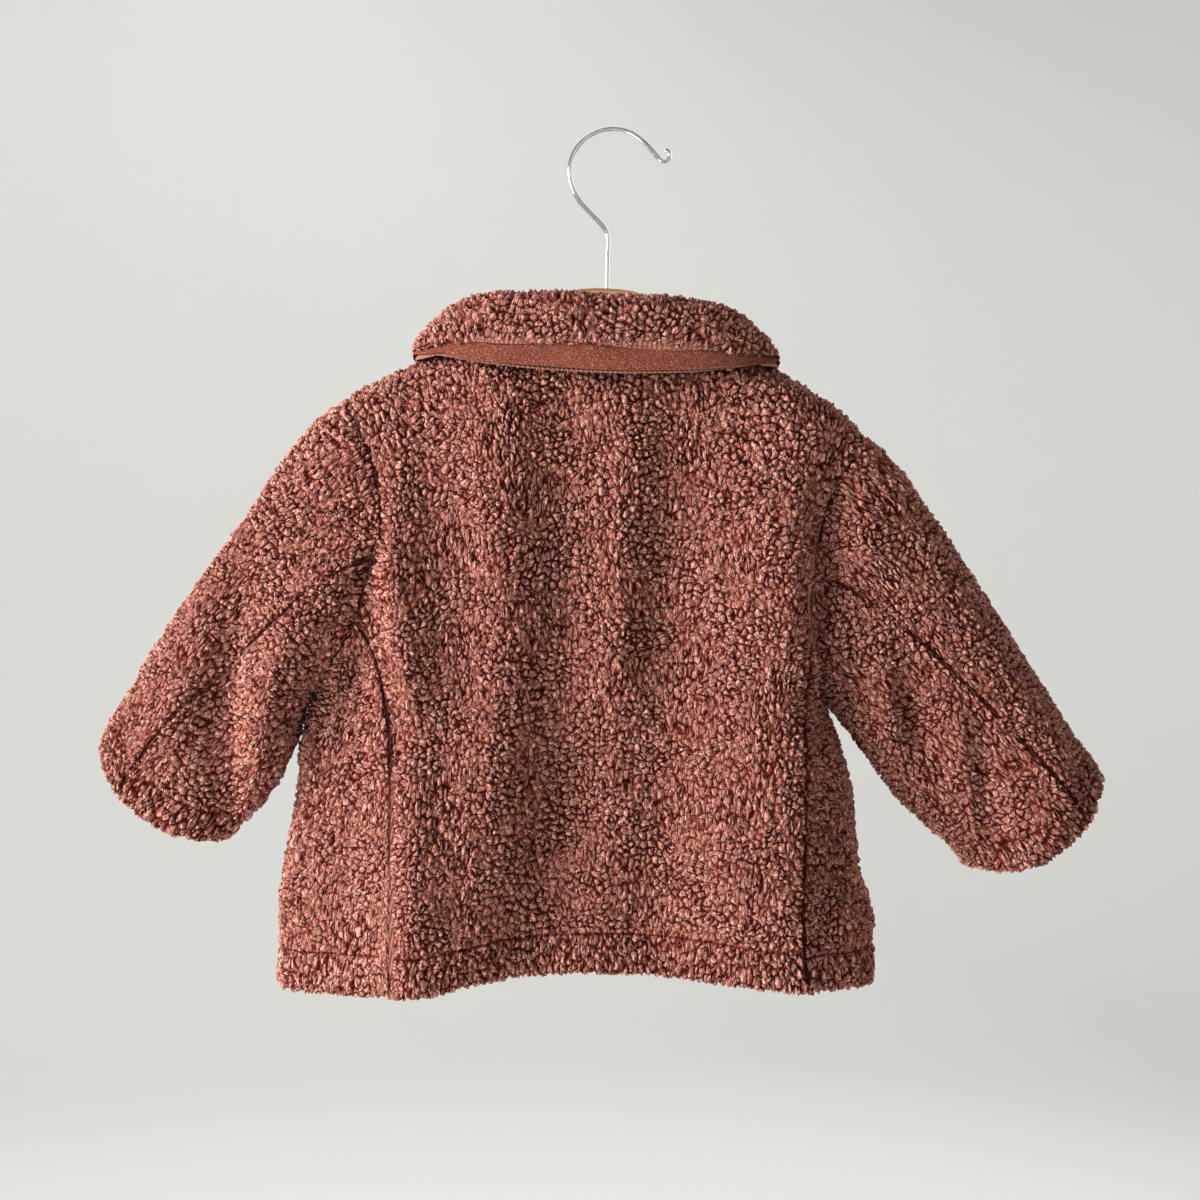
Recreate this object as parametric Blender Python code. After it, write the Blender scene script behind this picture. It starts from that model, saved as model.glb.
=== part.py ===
"""A baby's teddy-fleece jacket on a small wooden hanger.

Lengths in the tables are millimetres; meshes are made in metres. +X is the wearer's right, the jacket's
back faces -Y and its fronts face +Y, +Z is up. The origin is where the hook's crown rests on its nail.

The garment's outer surface, the skin, is made first, as grids of points for each cut panel. Panels share
their seam points, so one set of normals gives every panel a wall whose edges meet its neighbours'.
"""

import math

import bmesh
import bpy
import numpy as np

MM = 0.001
LEFT, RIGHT = -1, 1
BACK, FRONT = -1, 1
PATH_SAMPLES = 241

# ---------------------------------------------------------------------------------------------------
# Cloth
# ---------------------------------------------------------------------------------------------------
PILE_CLOTH = 6.0  # knit ground and teddy pile together
PLAIN_FLEECE = 3.0  # the under collar
SEAM_GAP = 0.34  # between two pieces along a seam
ARMPIT_GAP = 1.6  # where the cloth doubles back on itself
SEAM_SINK = 2.0  # a seam draws the pile in
EDGE_SINK = 1.4  # turned edges are rounded
STITCH_SINK = 1.5  # the stitch line of a hem or cuff
STITCH_ROW = 2  # of the body's rows, its hem's stitch line
MITRE_LEAST = 0.35  # keeps a sharp corner's mitre short


def smooth_read(xs, ys, at):
    """Read a curve that passes through the rows and never overshoots them (monotone cubic)."""
    xs, ys = np.asarray(xs, float), np.asarray(ys, float)
    steps = np.diff(xs)
    rise = np.diff(ys) / steps
    slope = np.concatenate(([rise[0]], np.zeros(len(xs) - 2), [rise[-1]]))
    for i in range(1, len(xs) - 1):
        if rise[i - 1] * rise[i] > 0:
            before, after = 2 * steps[i] + steps[i - 1], steps[i] + 2 * steps[i - 1]
            slope[i] = (before + after) / (before / rise[i - 1] + after / rise[i])
    at = np.clip(at, xs[0], xs[-1])
    cell = np.clip(np.searchsorted(xs, at, side="right") - 1, 0, len(steps) - 1)
    width = steps[cell]
    t = (at - xs[cell]) / width
    start = (1 + 2 * t) * (1 - t) ** 2 * ys[cell] + t * (1 - t) ** 2 * width * slope[cell]
    end = t * t * (3 - 2 * t) * ys[cell + 1] + t * t * (t - 1) * width * slope[cell + 1]
    return start + end


class Table:
    """Rows of named columns, read along the first one."""

    def __init__(self, columns, *rows):
        values = np.array(sorted(rows), float).T
        self.along = values[0]
        self.columns = dict(zip(columns, values))

    def read(self, column, at):
        return smooth_read(self.along, self.columns[column], at)


def lengths(points):
    """The length of a path up to each of its points."""
    return np.concatenate(([0.0], np.cumsum(np.linalg.norm(np.diff(points, axis=0), axis=1))))


def along_path(points, fractions):
    """Points at the given fractions of the length of a smooth curve through the points."""
    points = np.asarray(points, float)
    reach = lengths(points)
    fine = np.linspace(0, reach[-1], PATH_SAMPLES)
    curve = np.stack([smooth_read(reach, column, fine) for column in points.T], 1)
    length = lengths(curve)
    wanted = np.asarray(fractions) * length[-1]
    return np.stack([np.interp(wanted, length, column) for column in curve.T], 1)


def ease(t):
    """0 to 1, starting and ending gently."""
    t = np.clip(t, 0, 1)
    return t * t * (3 - 2 * t)


# ---------------------------------------------------------------------------------------------------
# Body: level sections, wider than deep
# ---------------------------------------------------------------------------------------------------
BODY_SQUARENESS = 2.5  # 2 is an ellipse, more is boxier
FOLD_REACH = 1.5  # folds fade out over the last 1 / FOLD_REACH of the fullness at a side
HEM_LEVEL = -509.0  # where the seams and edges are read for the hem
BODY = Table(
    ("z", "left", "right", "back", "front"),
    (-515, -202, 159, 40, 40),
    (-470, -201, 158, 40, 41),
    (-440, -198, 149, 40, 39),
    (-400, -191, 146, 38, 37),
    (-370, -186, 139, 36, 35),
    (-338, -177, 124, 34, 33),
    (-310, -181, 140, 33, 31),
    (-250, -185, 160, 31, 28),
    (-200, -190, 175, 29, 26),
    (-157, -190, 175, 26, 24),
)
BACK_HEM = Table(("x", "z"), (-203, -512.5), (-127, -511.5), (-60, -503.5), (-20, -500), (30, -502),
                 (108, -508.5), (158, -510.5))
FRONT_HEM = -511.0

# Long soft folds of the back: where they run at three heights, and how far they stand out there.
FOLD_HEIGHTS = (HEM_LEVEL, -370, -230)
BACK_FOLDS = (
    # name, x at hem, middle, top, half width, rise at hem, middle, top
    ("left seam ridge", -127, -128, -134, 16, 6, 5, 0),
    ("left valley", -97, -106, -108, 18, -3, -7, -4),
    ("left ridge", -84, -62, -64, 20, 0, 5, 4),
    ("middle valley", -53, -27, -27, 20, -12, -7, -5),
    ("middle ridge", -9, 3, 2, 16, -2, 4, 4),
    ("right valley", 20, 28, 28, 20, -9, -6, -4),
    ("right seam ridge", 104, 104, 108, 26, 9, 11, 5),
)
FRONT_FOLDS = (
    ("left front drape", -120, -105, -100, 28, 5, 3, 0),
    ("left front dip", -70, -65, -70, 24, -4, -3, 0),
    ("right front drape", 85, 70, 70, 26, 5, 3, 0),
    ("right front dip", 45, 40, 45, 20, -4, -3, 0),
)

# Seam lines and edges, seen from the back.
SIDE_SEAM = {
    LEFT: Table(("z", "x"), (-505, -127.4), (-453, -126.5), (-380, -127.6), (-337, -131.5),
                (-310, -139.7), (-293, -149.5)),
    RIGHT: Table(("z", "x"), (-503, 112.7), (-476, 109.3), (-449, 109.9), (-424, 110.4),
                 (-351, 111.6), (-318, 111.6), (-299, 114.5)),
}
SEAM_TOP_Z = {LEFT: -293.0, RIGHT: -299.0}
UNDERARM_Z = {LEFT: -336.0, RIGHT: -338.0}
SHOULDER_TIP = {LEFT: (-159.0, -156.5), RIGHT: (150.5, -180.0)}
BACK_ARMHOLE = {  # between the side seam's top and the shoulder tip
    LEFT: ((-144, -270), (-134, -241), (-138.5, -210), (-149.5, -180)),
    RIGHT: ((117.3, -270), (122.7, -240), (131.5, -215), (143, -197)),
}
FRONT_ARMHOLE = {  # between the underarm and the shoulder tip
    LEFT: ((-171, -318), (-158, -292), (-147, -262), (-143, -230), (-149, -192)),
    RIGHT: ((122, -318), (119, -295), (118, -262), (124, -228), (137, -200)),
}
SHOULDER_LINE = {  # between the shoulder tip and the neck
    LEFT: ((-127, -141.5),),
    RIGHT: ((144, -171.6), (136, -164.4), (124, -157), (102.6, -142.8)),
}
SHOULDER_ROUND = 22.0  # how far down the cloth rounds over the shoulder seam
CENTRE_FRONT = Table(("z", "x"), (-509, -22), (-168, -9.5))
OVERLAP = 12.0  # each front passes the centre line by this
UNDERLAP_STEP = 6.8  # the left front lies this much deeper, under the right one
UNDERLAP_RAMP = 20.0
UNDERLAP_FLAT = 2.0  # the last of the ramp is flat
LAP_DROP = 1.0  # of the neck edge, out to the lap's corner

# Grid of the body
HEM_ROWS = (0.0, 12.0, 24.0, 36.0)  # heights above the hem; the third is its stitch line
BODY_ROWS = 11  # from the last hem row to the armholes
UPPER_ROWS = 10  # along each side of an armhole
WRAP_COLUMNS = 4  # of a front, from its side seam round to the side
SHOULDER_COLUMNS = 7
LAP_COLUMNS = 2

# ---------------------------------------------------------------------------------------------------
# Neck and collar, by the angle round the neck from the centre back; out is the distance to the side
# ---------------------------------------------------------------------------------------------------
NECK_X = -9.5
NECK_TILT = -0.035  # the right side hangs a little lower
BACK_NECK_ANGLES = (0, 15, 30, 45, 60, 75, 90)
FRONT_NECK_ANGLES = (90, 100, 112, 124, 136, 148, 158, 165, 172)
NECK = Table(("angle", "out", "y", "z"), (0, 0, -24, -146), (30, 38, -23, -143.5), (55, 66, -18, -137),
             (75, 79, -10, -131), (90, 84, 0, -129), (110, 80, 12, -132), (130, 66, 20, -143),
             (150, 45, 25, -155), (165, 22, 28, -164), (172, 13, 28.5, -167))
ROLL = Table(("angle", "lean", "z"), (0, 7, -102), (30, 7, -102), (55, 6, -103.5), (75, 5.5, -108.5),
             (90, 5, -114), (110, 5, -117), (130, 5, -128), (150, 5, -140), (165, 5, -149), (172, 5, -152))
FALL_EDGE = Table(("angle", "out", "y", "z"), (0, 0, -45, -136), (30, 50, -43, -136),
                  (55, 85, -37, -136), (75, 107, -26, -139), (90, 112, -6, -137), (100, 112, 16, -138),
                  (110, 108, 32, -150), (130, 96, 39, -174), (150, 76, 44, -198), (165, 56, 48, -214),
                  (172, 44, 49, -222))
UNDER_STRIP = Table(("angle", "width", "swell"), (0, 17, 1), (30, 15, 0.9), (55, 8, 0.4), (66, 3.5, 0),
                    (75, 2.5, 0), (90, 2.5, 0), (172, 2.5, 0))
STRIP_SECTION = ((0.12, 0.4), (0.10, 0.8), (-0.25, 1.0))  # swell and reach, in strip widths
ROLL_RADIUS = 12.0
ROLL_LOWEST = 2.6  # the roll's middle stays at least this far above the neck edge
ROLL_TURNS = (180, 140, 100, 60, 25)  # degrees round the roll, from the neck side over its top
FALL_PARTS = (0.35, 0.7, 1.0)
STAND_LEAN = 0.12
COLLAR_BASE = 1.2  # the collar stands this far above the neck edge
COLLAR_EDGE_CLOTH = 4.0  # the fall thins to this at its edge
COLLAR_OVER_SHOULDER = 7.5
COLLAR_CLOTH = 9.0  # both layers
FALL_PUFF = 2.5

# ---------------------------------------------------------------------------------------------------
# Sleeves: an upper and a lower edge line, by the fraction of the length from armhole to cuff
# ---------------------------------------------------------------------------------------------------
SLEEVE = {
    LEFT: Table(
        ("s", "upper_x", "upper_z", "lower_x", "lower_z", "half_depth"),
        (0.00, -159, -156.5, -177, -336, 24),
        (0.15, -187, -181.5, -184, -348, 25),
        (0.35, -214, -221, -190, -368, 26),
        (0.60, -249, -271, -199, -391, 27),
        (0.80, -278, -315, -213, -409, 25),
        (1.00, -309, -366, -231, -428, 21),
    ),
    RIGHT: Table(
        ("s", "upper_x", "upper_z", "lower_x", "lower_z", "half_depth"),
        (0.00, 150.5, -180, 125, -338, 20),
        (0.12, 166, -193, 136, -352, 19),
        (0.35, 198, -237, 151, -375, 23),
        (0.60, 231, -289, 172, -403, 25),
        (0.80, 262, -338, 193, -422, 24),
        (1.00, 296, -386, 212, -443, 21),
    ),
}
SLEEVE_SQUARENESS = 2.25
SLEEVE_ROWS = (0, 0.04, 0.1, 0.18, 0.27, 0.36, 0.45, 0.54, 0.63, 0.72, 0.81, 0.895, 0.95, 1)
CUFF_STITCH_ROW = 11
ARMHOLE_FADE = {BACK: 2, FRONT: 4}  # how fast the armhole's own curve is left behind
CUFF_BULGE = {LEFT: 16.5, RIGHT: 19.5}  # the cuff's middle hangs lower than its two corners
CUFF_BULGE_START = 0.6  # of the sleeve's length
BACK_SEAM = 8  # ring points from the top of the sleeve to its back seam
UNDER_SEAM = 16  # and to the seam on the underside
ARMPIT = slice(13, 17)  # the ring points round the underarm
BACK_SEAM_ANGLES = {LEFT: (96.0, 71.0), RIGHT: (96.0, 66.0)}  # round the ring, at the armhole and at the cuff
SLEEVE_FOLDS = {
    # x and z of the middle, length, width, angle of its length above level, rise
    LEFT: ((-174, -318, 16, 11, 60, -7), (-196, -300, 52, 15, 64, 5), (-240, -368, 26, 12, 50, -4)),
    RIGHT: ((150, -262, 42, 12, -75, -5), (185, -352, 20, 14, -30, -4), (247, -385, 16, 12, -40, -3)),
}

# ---------------------------------------------------------------------------------------------------
# Hanger and buttons
# ---------------------------------------------------------------------------------------------------
WOOD_X = -3.0
WOOD_TILT = -0.045
WOOD_THICKNESS = 12.0
WOOD = Table(("out", "top", "bottom"), (0, -95, -121), (12, -95.5, -121.5), (24, -98.5, -124),
             (40, -110, -132), (60, -127, -147), (84, -143, -162), (108, -154, -172),
             (117, -159, -175))
WOOD_BEVEL = 2.5
WOOD_STATIONS = (0, 8, 16, 24, 32, 40, 50, 60, 72, 85, 97, 108, 117)
WOOD_SHARP = 50.0  # degrees between faces whose edge is rounded
HOOK_WIRE = 3.0
HOOK_BORE = 3.8
HOOK_BORE_DEPTH = 16.0
HOOK_FOOT_X = -3.2
HOOK_BOTTOM_GAP = 2.0
HOOK_SHAFT = ((-3.1, -80), (-2.2, -66), (-2.6, -61.5), (-4.8, -58), (-10, -52.5), (-15.5, -47), (-20.2, -41.6))
HOOK_CENTRE = (0.3, -24.5)
HOOK_RADIUS = 26.0
HOOK_CROWN = range(204, 37, -14)  # degrees round the crown
HOOK_END = ((24.6, -12.2), (28.0, -17.0), (30.6, -18.6), (33.6, -17.8), (35.0, -15.0), (34.0, -12.2),
            (31.2, -11.0))

BUTTON_HEIGHTS = (-190, -268, -346, -424)
BUTTON_RADIUS = 9.0
BUTTON_THICKNESS = 4.0
BUTTON_LIFT = 0.6
BUTTON_RIM = 1.2
BUTTON_SHARP = 60.0
BUTTON_CLEARANCE_REACH = 26.0  # the cloth within this of a button's middle lies behind it


def fold_height(folds, x, z):
    """How far the folds stand out of the plain section."""
    rise = 0.0
    for _name, x_hem, x_mid, x_top, half_width, rise_hem, rise_mid, rise_top in folds:
        middle = smooth_read(FOLD_HEIGHTS, (x_hem, x_mid, x_top), z)
        height = smooth_read(FOLD_HEIGHTS, (rise_hem, rise_mid, rise_top), z)
        rise = rise + height * np.exp(-math.log(2) * ((x - middle) / half_width) ** 2)
    return rise


def body_centre(z):
    return (BODY.read("left", z) + BODY.read("right", z)) / 2


def body_half_width(z):
    return (BODY.read("right", z) - BODY.read("left", z)) / 2


def turn_at(x, z):
    """The turn from the section's middle, in radians, whose sine is the place across it."""
    return np.arcsin(np.clip((x - body_centre(z)) / body_half_width(z), -1, 1))


def body_y(x, z, face):
    """Depth of the skin at x, z on the back or the front."""
    across = np.clip(abs(x - body_centre(z)) / body_half_width(z), 0, 1)
    fullness = (1 - across**BODY_SQUARENESS) ** (1 / BODY_SQUARENESS)
    depth = BODY.read("back" if face == BACK else "front", z)
    folds = fold_height(BACK_FOLDS if face == BACK else FRONT_FOLDS, x, z)
    return face * (depth * fullness + folds * np.minimum(1, FOLD_REACH * fullness))


def neck_point(table, side, angle):
    """A point of the neck line or of the collar's edge."""
    out = side * table.read("out", angle)
    return np.array((NECK_X + out, table.read("y", angle), table.read("z", angle) + NECK_TILT * out))


def neck_outward(side, angle):
    """The level way out from the neck line, square to it."""
    along = neck_point(NECK, side, angle + 2) - neck_point(NECK, side, angle - 2)
    return side * np.array((along[1], -along[0], 0)) / math.hypot(along[0], along[1])


def underlap(x, z, side):
    """The left front steps back where the right one lies over it."""
    if side == RIGHT:
        return 0.0
    lap_edge = CENTRE_FRONT.read("x", z) - OVERLAP
    return UNDERLAP_STEP * ease((x - lap_edge + UNDERLAP_RAMP) / (UNDERLAP_RAMP - UNDERLAP_FLAT))


def row_heights(hem, top):
    """Heights of the rows from the hem to the armhole level, in one column."""
    rows = [hem + rise for rise in HEM_ROWS]
    first = rows[-1]
    return rows + [first + (top - first) * (row + 1) / BODY_ROWS for row in range(BODY_ROWS)]


def upper_fractions():
    """Row places between the armhole level and the shoulder, closer together at the shoulder."""
    t = np.linspace(0, 1, UPPER_ROWS + 1)
    return t * (1.5 - 0.5 * t)


def patch(bottom, top, left, right, fractions):
    """Fill four sides that meet at their corners (a Coons patch), in x and z."""
    columns, rows = len(bottom), len(left)
    grid = np.zeros((columns, rows, 2))
    for i in range(columns):
        u = i / (columns - 1)
        for j in range(rows):
            v = fractions[j]
            across = (1 - v) * bottom[i] + v * top[i]
            along = (1 - u) * left[j] + u * right[j]
            low = (1 - u) * bottom[0] + u * bottom[-1]
            high = (1 - u) * top[0] + u * top[-1]
            grid[i, j] = across + along - (1 - v) * low - v * high
    return grid


def upper_surface(flat, top_line, face, side=RIGHT):
    """Give a flat upper patch its depth: full below, rounding to the top line's own depth."""
    columns, rows, _ = flat.shape
    grid = np.zeros((columns, rows, 3))
    order = np.argsort(top_line[:, 0])
    for i in range(columns):
        for j in range(rows):
            x, z = flat[i, j]
            top_y, top_z = (np.interp(x, top_line[order, 0], top_line[order, axis]) for axis in (1, 2))
            full = body_y(x, z, face)
            if face == FRONT:
                full -= underlap(x, z, side)
            down = np.clip((top_z - z) / SHOULDER_ROUND, 0, 1)
            grid[i, j] = (x, top_y + (full - top_y) * math.sqrt(1 - (1 - down) ** 2), z)
        if j == rows - 1:
            grid[i, j] = top_line[i]
    return grid


def shoulder_points(side):
    """From the shoulder tip to the neck, at y = 0."""
    neck = neck_point(NECK, side, 90)
    line = [SHOULDER_TIP[side], *SHOULDER_LINE[side], (neck[0], neck[2])]
    flat = along_path(line, np.linspace(0, 1, SHOULDER_COLUMNS + 1))
    return np.stack((flat[:, 0], np.zeros(len(flat)), flat[:, 1]), 1)


def underarm(side):
    z = UNDERARM_Z[side]
    return np.array((BODY.read("left" if side == LEFT else "right", z), z))


def seam_top(side):
    z = SEAM_TOP_Z[side]
    return np.array((SIDE_SEAM[side].read("x", z), z))


def back_panel():
    """The back: rows of points from the left side to the right, hem to neck."""
    neck = [neck_point(NECK, LEFT, angle) for angle in BACK_NECK_ANGLES[::-1]]
    neck += [neck_point(NECK, RIGHT, angle) for angle in BACK_NECK_ANGLES[1:]]
    top = np.array([*shoulder_points(LEFT)[:-1], *neck, *shoulder_points(RIGHT)[::-1][1:]])
    columns = len(top)
    lower = np.zeros((columns, len(HEM_ROWS) + BODY_ROWS, 3))
    for i in range(columns):
        u = i / (columns - 1)
        top_z = (1 - u) * SEAM_TOP_Z[LEFT] + u * SEAM_TOP_Z[RIGHT]
        hem_x = (1 - u) * SIDE_SEAM[LEFT].read("x", HEM_LEVEL) + u * SIDE_SEAM[RIGHT].read("x", HEM_LEVEL)
        for j, z in enumerate(row_heights(BACK_HEM.read("z", hem_x), top_z)):
            start = turn_at(SIDE_SEAM[LEFT].read("x", z), z)
            end = turn_at(SIDE_SEAM[RIGHT].read("x", z), z)
            x = body_centre(z) + body_half_width(z) * np.sin((1 - u) * start + u * end)
            lower[i, j] = (x, body_y(x, z, BACK), z)
    fractions = upper_fractions()
    sides = []
    for side in (LEFT, RIGHT):
        sides.append(along_path([seam_top(side), *BACK_ARMHOLE[side], SHOULDER_TIP[side]], fractions))
    flat = patch(lower[:, -1][:, [0, 2]], top[:, [0, 2]], sides[0], sides[1], fractions)
    upper = upper_surface(flat, top, BACK)
    upper[:, 0] = lower[:, -1]
    return np.concatenate((lower, upper[:, 1:]), axis=1)


def front_panel(side):
    """A front, from its side seam round the side to its centre edge: lower grid and upper grid."""
    arm = underarm(side)
    fractions = upper_fractions()
    neck = [neck_point(NECK, side, angle) for angle in FRONT_NECK_ANGLES]
    last = neck[-1]
    corner_z = last[2] - LAP_DROP
    corner = np.array((CENTRE_FRONT.read("x", corner_z) - side * OVERLAP, last[1], corner_z))
    neck += [last + (corner - last) * (step + 1) / LAP_COLUMNS for step in range(LAP_COLUMNS)]
    for point in neck:
        point[1] -= underlap(point[0], point[2], side)
    top = np.array([*shoulder_points(side)[:-1], *neck])
    inner_columns = len(top) - 1
    columns = WRAP_COLUMNS + inner_columns
    lower_arm = along_path([seam_top(side), arm], np.linspace(0, 1, WRAP_COLUMNS + 1))
    lower = np.zeros((columns + 1, len(HEM_ROWS) + BODY_ROWS, 3))
    side_turn = side * math.pi / 2
    for i in range(columns + 1):
        wrap = i <= WRAP_COLUMNS
        u = i / WRAP_COLUMNS if wrap else (i - WRAP_COLUMNS) / inner_columns
        top_x, top_z = lower_arm[i] if wrap else (None, UNDERARM_Z[side])
        top_u = u
        if wrap and 0 < i < WRAP_COLUMNS:
            seam_turn = turn_at(SIDE_SEAM[side].read("x", top_z), top_z)
            top_u = (turn_at(top_x, top_z) - seam_turn) / (side_turn - seam_turn)
        seam_x = SIDE_SEAM[side].read("x", HEM_LEVEL)
        side_x = body_centre(HEM_LEVEL) + side * body_half_width(HEM_LEVEL)
        hem_z = BACK_HEM.read("z", (1 - u) * seam_x + u * side_x) if wrap else FRONT_HEM
        rows = row_heights(hem_z, top_z)
        for j, z in enumerate(rows):
            if wrap:
                start, end = turn_at(SIDE_SEAM[side].read("x", z), z), side_turn
                place = u + (top_u - u) * ease(j / (len(rows) - 1))
            else:
                edge = CENTRE_FRONT.read("x", z) - side * OVERLAP
                start, end, place = side_turn, turn_at(edge, z), u
            x = body_centre(z) + body_half_width(z) * np.sin((1 - place) * start + place * end)
            face = BACK if wrap else FRONT
            y = body_y(x, z, face) - (0 if wrap else underlap(x, z, side))
            lower[i, j] = (x, y if abs(x - body_centre(z)) < body_half_width(z) - 1e-6 else 0.0, z)
    lower[WRAP_COLUMNS, -1] = (arm[0], 0, arm[1])
    for i in range(WRAP_COLUMNS):
        lower[i, -1] = (lower_arm[i][0], body_y(*lower_arm[i], BACK), lower_arm[i][1])
    armhole = along_path([arm, *FRONT_ARMHOLE[side], SHOULDER_TIP[side]], fractions)
    bottom = lower[WRAP_COLUMNS:, -1][:, [0, 2]]
    edge = along_path([bottom[-1], top[-1][[0, 2]]], fractions)
    flat = patch(bottom, top[:, [0, 2]], armhole, edge, fractions)
    upper = upper_surface(flat, top, FRONT, side)
    upper[:, 0] = lower[WRAP_COLUMNS:, -1]
    return lower, upper


def armhole_ring(side, back, front):
    """Round one armhole: down the back, under the arm and up the front. The last point is the first."""
    column = 0 if side == LEFT else -1
    first_upper = len(HEM_ROWS) + BODY_ROWS - 1
    lower, upper = front
    down = back[column, first_upper:][::-1]
    under = lower[1:WRAP_COLUMNS, -1]
    return np.array([*down, *under, *upper[0]])


def sleeve_panel(side, ring):
    """A sleeve: each row is a ring that starts at its top, from the armhole to the cuff."""
    count = len(ring) - 1
    bottom = UPPER_ROWS + WRAP_COLUMNS
    table = SLEEVE[side]
    grid = np.zeros((count + 1, len(SLEEVE_ROWS), 3))
    armhole_shift = np.zeros((count + 1, 3))
    for j, s in enumerate(SLEEVE_ROWS):
        upper = np.array((table.read("upper_x", s), table.read("upper_z", s)))
        lower = np.array((table.read("lower_x", s), table.read("lower_z", s)))
        middle, reach = (upper + lower) / 2, (upper - lower) / 2
        onward = np.array((-reach[1], reach[0])) * -side / np.linalg.norm(reach)
        depth = table.read("half_depth", s)
        seam = np.interp(s, (0, 1), BACK_SEAM_ANGLES[side])
        for k in range(count + 1):
            angle = math.radians(np.interp(k, (0, BACK_SEAM, bottom, count), (0, seam, 180, 360)))
            power = 2 / SLEEVE_SQUARENESS
            rise = math.copysign(abs(math.cos(angle)) ** power, math.cos(angle))
            out = math.copysign(abs(math.sin(angle)) ** power, math.sin(angle))
            place = middle + reach * rise
            bulge = CUFF_BULGE[side] * ease((s - CUFF_BULGE_START) / (1 - CUFF_BULGE_START))
            place = place + onward * bulge * (1 - rise * rise)
            y = -depth * out
            if out > 0:
                y -= sleeve_fold_height(side, *place) * min(1, FOLD_REACH * out)
            point = np.array((place[0], y, place[1]))
            if j == 0:
                armhole_shift[k] = ring[k] - point
            fade = ARMHOLE_FADE[BACK if k < bottom - 1 else FRONT]
            grid[k, j] = point + armhole_shift[k] * (1 - s) ** fade
    grid[-1] = grid[0]
    return grid


def sleeve_fold_height(side, x, z):
    rise = 0.0
    for fold_x, fold_z, length, width, tilt, height in SLEEVE_FOLDS[side]:
        c, s = math.cos(math.radians(tilt)), math.sin(math.radians(tilt))
        along = ((x - fold_x) * c + (z - fold_z) * s) / length
        across = ((z - fold_z) * c - (x - fold_x) * s) / width
        rise += height * math.exp(-math.log(2) * (along**2 + across**2))
    return rise


# ---------------------------------------------------------------------------------------------------
# Walls
# ---------------------------------------------------------------------------------------------------
class Skin:
    """The points of a cloth surface, shared between its panels, with one normal at each point."""

    def __init__(self):
        self.points, self.sink, self.thickness, self.gap = [], [], [], []
        self.upright = set()  # points whose cloth stands upright
        self.found = {}
        self.panels = {}

    def index(self, point):
        key = tuple(round(float(value), 3) + 0.0 for value in point)
        if key not in self.found:
            self.found[key] = len(self.points)
            self.points.append(np.array(point, float))
            self.sink.append(0.0)
            self.thickness.append(PILE_CLOTH)
            self.gap.append(SEAM_GAP)
        return self.found[key]

    def add(self, name, grid, flip=False):
        """Add a grid of points to a panel; two grids of one panel are joined where they share points."""
        numbers = [[self.index(point) for point in column] for column in grid]
        faces = self.panels.setdefault(name, [])
        for i in range(len(numbers) - 1):
            for j in range(len(numbers[0]) - 1):
                face = (numbers[i][j], numbers[i + 1][j], numbers[i + 1][j + 1], numbers[i][j + 1])
                faces.append(face[::-1] if flip else face)
        return numbers

    def sink_points(self, numbers, depth):
        for number in numbers:
            self.sink[number] = max(self.sink[number], depth)

    def normals(self):
        points = np.array(self.points)
        normals = np.zeros_like(points)
        for faces in self.panels.values():
            for face in faces:
                a, b, c, d = points[list(face)]
                across = np.cross(c - a, d - b)
                for number in face:
                    normals[number] += across / np.linalg.norm(across)
        for number in self.upright:
            normals[number][2] = 0
        return normals / np.linalg.norm(normals, axis=1)[:, None]

    def edges(self, name):
        """The panel's outline, as pairs of point numbers with the panel on their left."""
        pairs = set()
        for face in self.panels[name]:
            pairs.update(zip(face, face[1:] + face[:1]))
        return [(a, b) for a, b in sorted(pairs) if (b, a) not in pairs]

    def sink_seams(self):
        """Draw in the points that two panels share, and round the free edges."""
        uses = {}
        for name in self.panels:
            for pair in self.edges(name):
                uses.setdefault(frozenset(pair), []).append(name)
        for pair, names in uses.items():
            self.sink_points(pair, SEAM_SINK if len(names) > 1 else EDGE_SINK)

    def inset(self, name, normals):
        """The way in from the outline at each of its points, half a seam gap long."""
        inward = {}
        for a, b in self.edges(name):
            way = self.points[b] - self.points[a]
            for number in (a, b):
                into = np.cross(normals[number], way)
                inward.setdefault(number, []).append(into / np.linalg.norm(into))
        shifts = {}
        for number, (first, second) in inward.items():
            mitre = (first + second) / max(1 + float(first @ second), MITRE_LEAST)
            shifts[number] = mitre * self.gap[number] / 2
        return shifts

    def wall(self, name):
        """Points and faces of the panel as a closed wall."""
        normals = self.normals()
        shifts = self.inset(name, normals)
        used = sorted({number for face in self.panels[name] for number in face})
        place = {number: i for i, number in enumerate(used)}
        outer, inner = [], []
        for number in used:
            point = self.points[number] + shifts.get(number, np.zeros(3))
            outer.append(point - normals[number] * self.sink[number])
            edge = EDGE_SINK if 0 < self.sink[number] <= EDGE_SINK else 0.0
            inner.append(point - normals[number] * (self.thickness[number] - edge))
        under = len(used)
        faces = []
        for face in self.panels[name]:
            a, b, c, d = (place[number] for number in face)
            faces += [(a, b, c), (a, c, d)]
            faces += [(under + c, under + b, under + a), (under + d, under + c, under + a)]
        for a, b in self.edges(name):
            oa, ob, ia, ib = place[a], place[b], under + place[a], under + place[b]
            if a < b:
                faces += [(oa, ia, ib), (oa, ib, ob)]
            else:
                faces += [(oa, ia, ob), (ia, ib, ob)]
        return outer + inner, faces


# ---------------------------------------------------------------------------------------------------
# Scene
# ---------------------------------------------------------------------------------------------------
def clear_scene():
    for thing in list(bpy.data.objects):
        bpy.data.objects.remove(thing, do_unlink=True)


def collection(name):
    group = bpy.data.collections.new(name)
    bpy.context.scene.collection.children.link(group)
    return group


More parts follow.
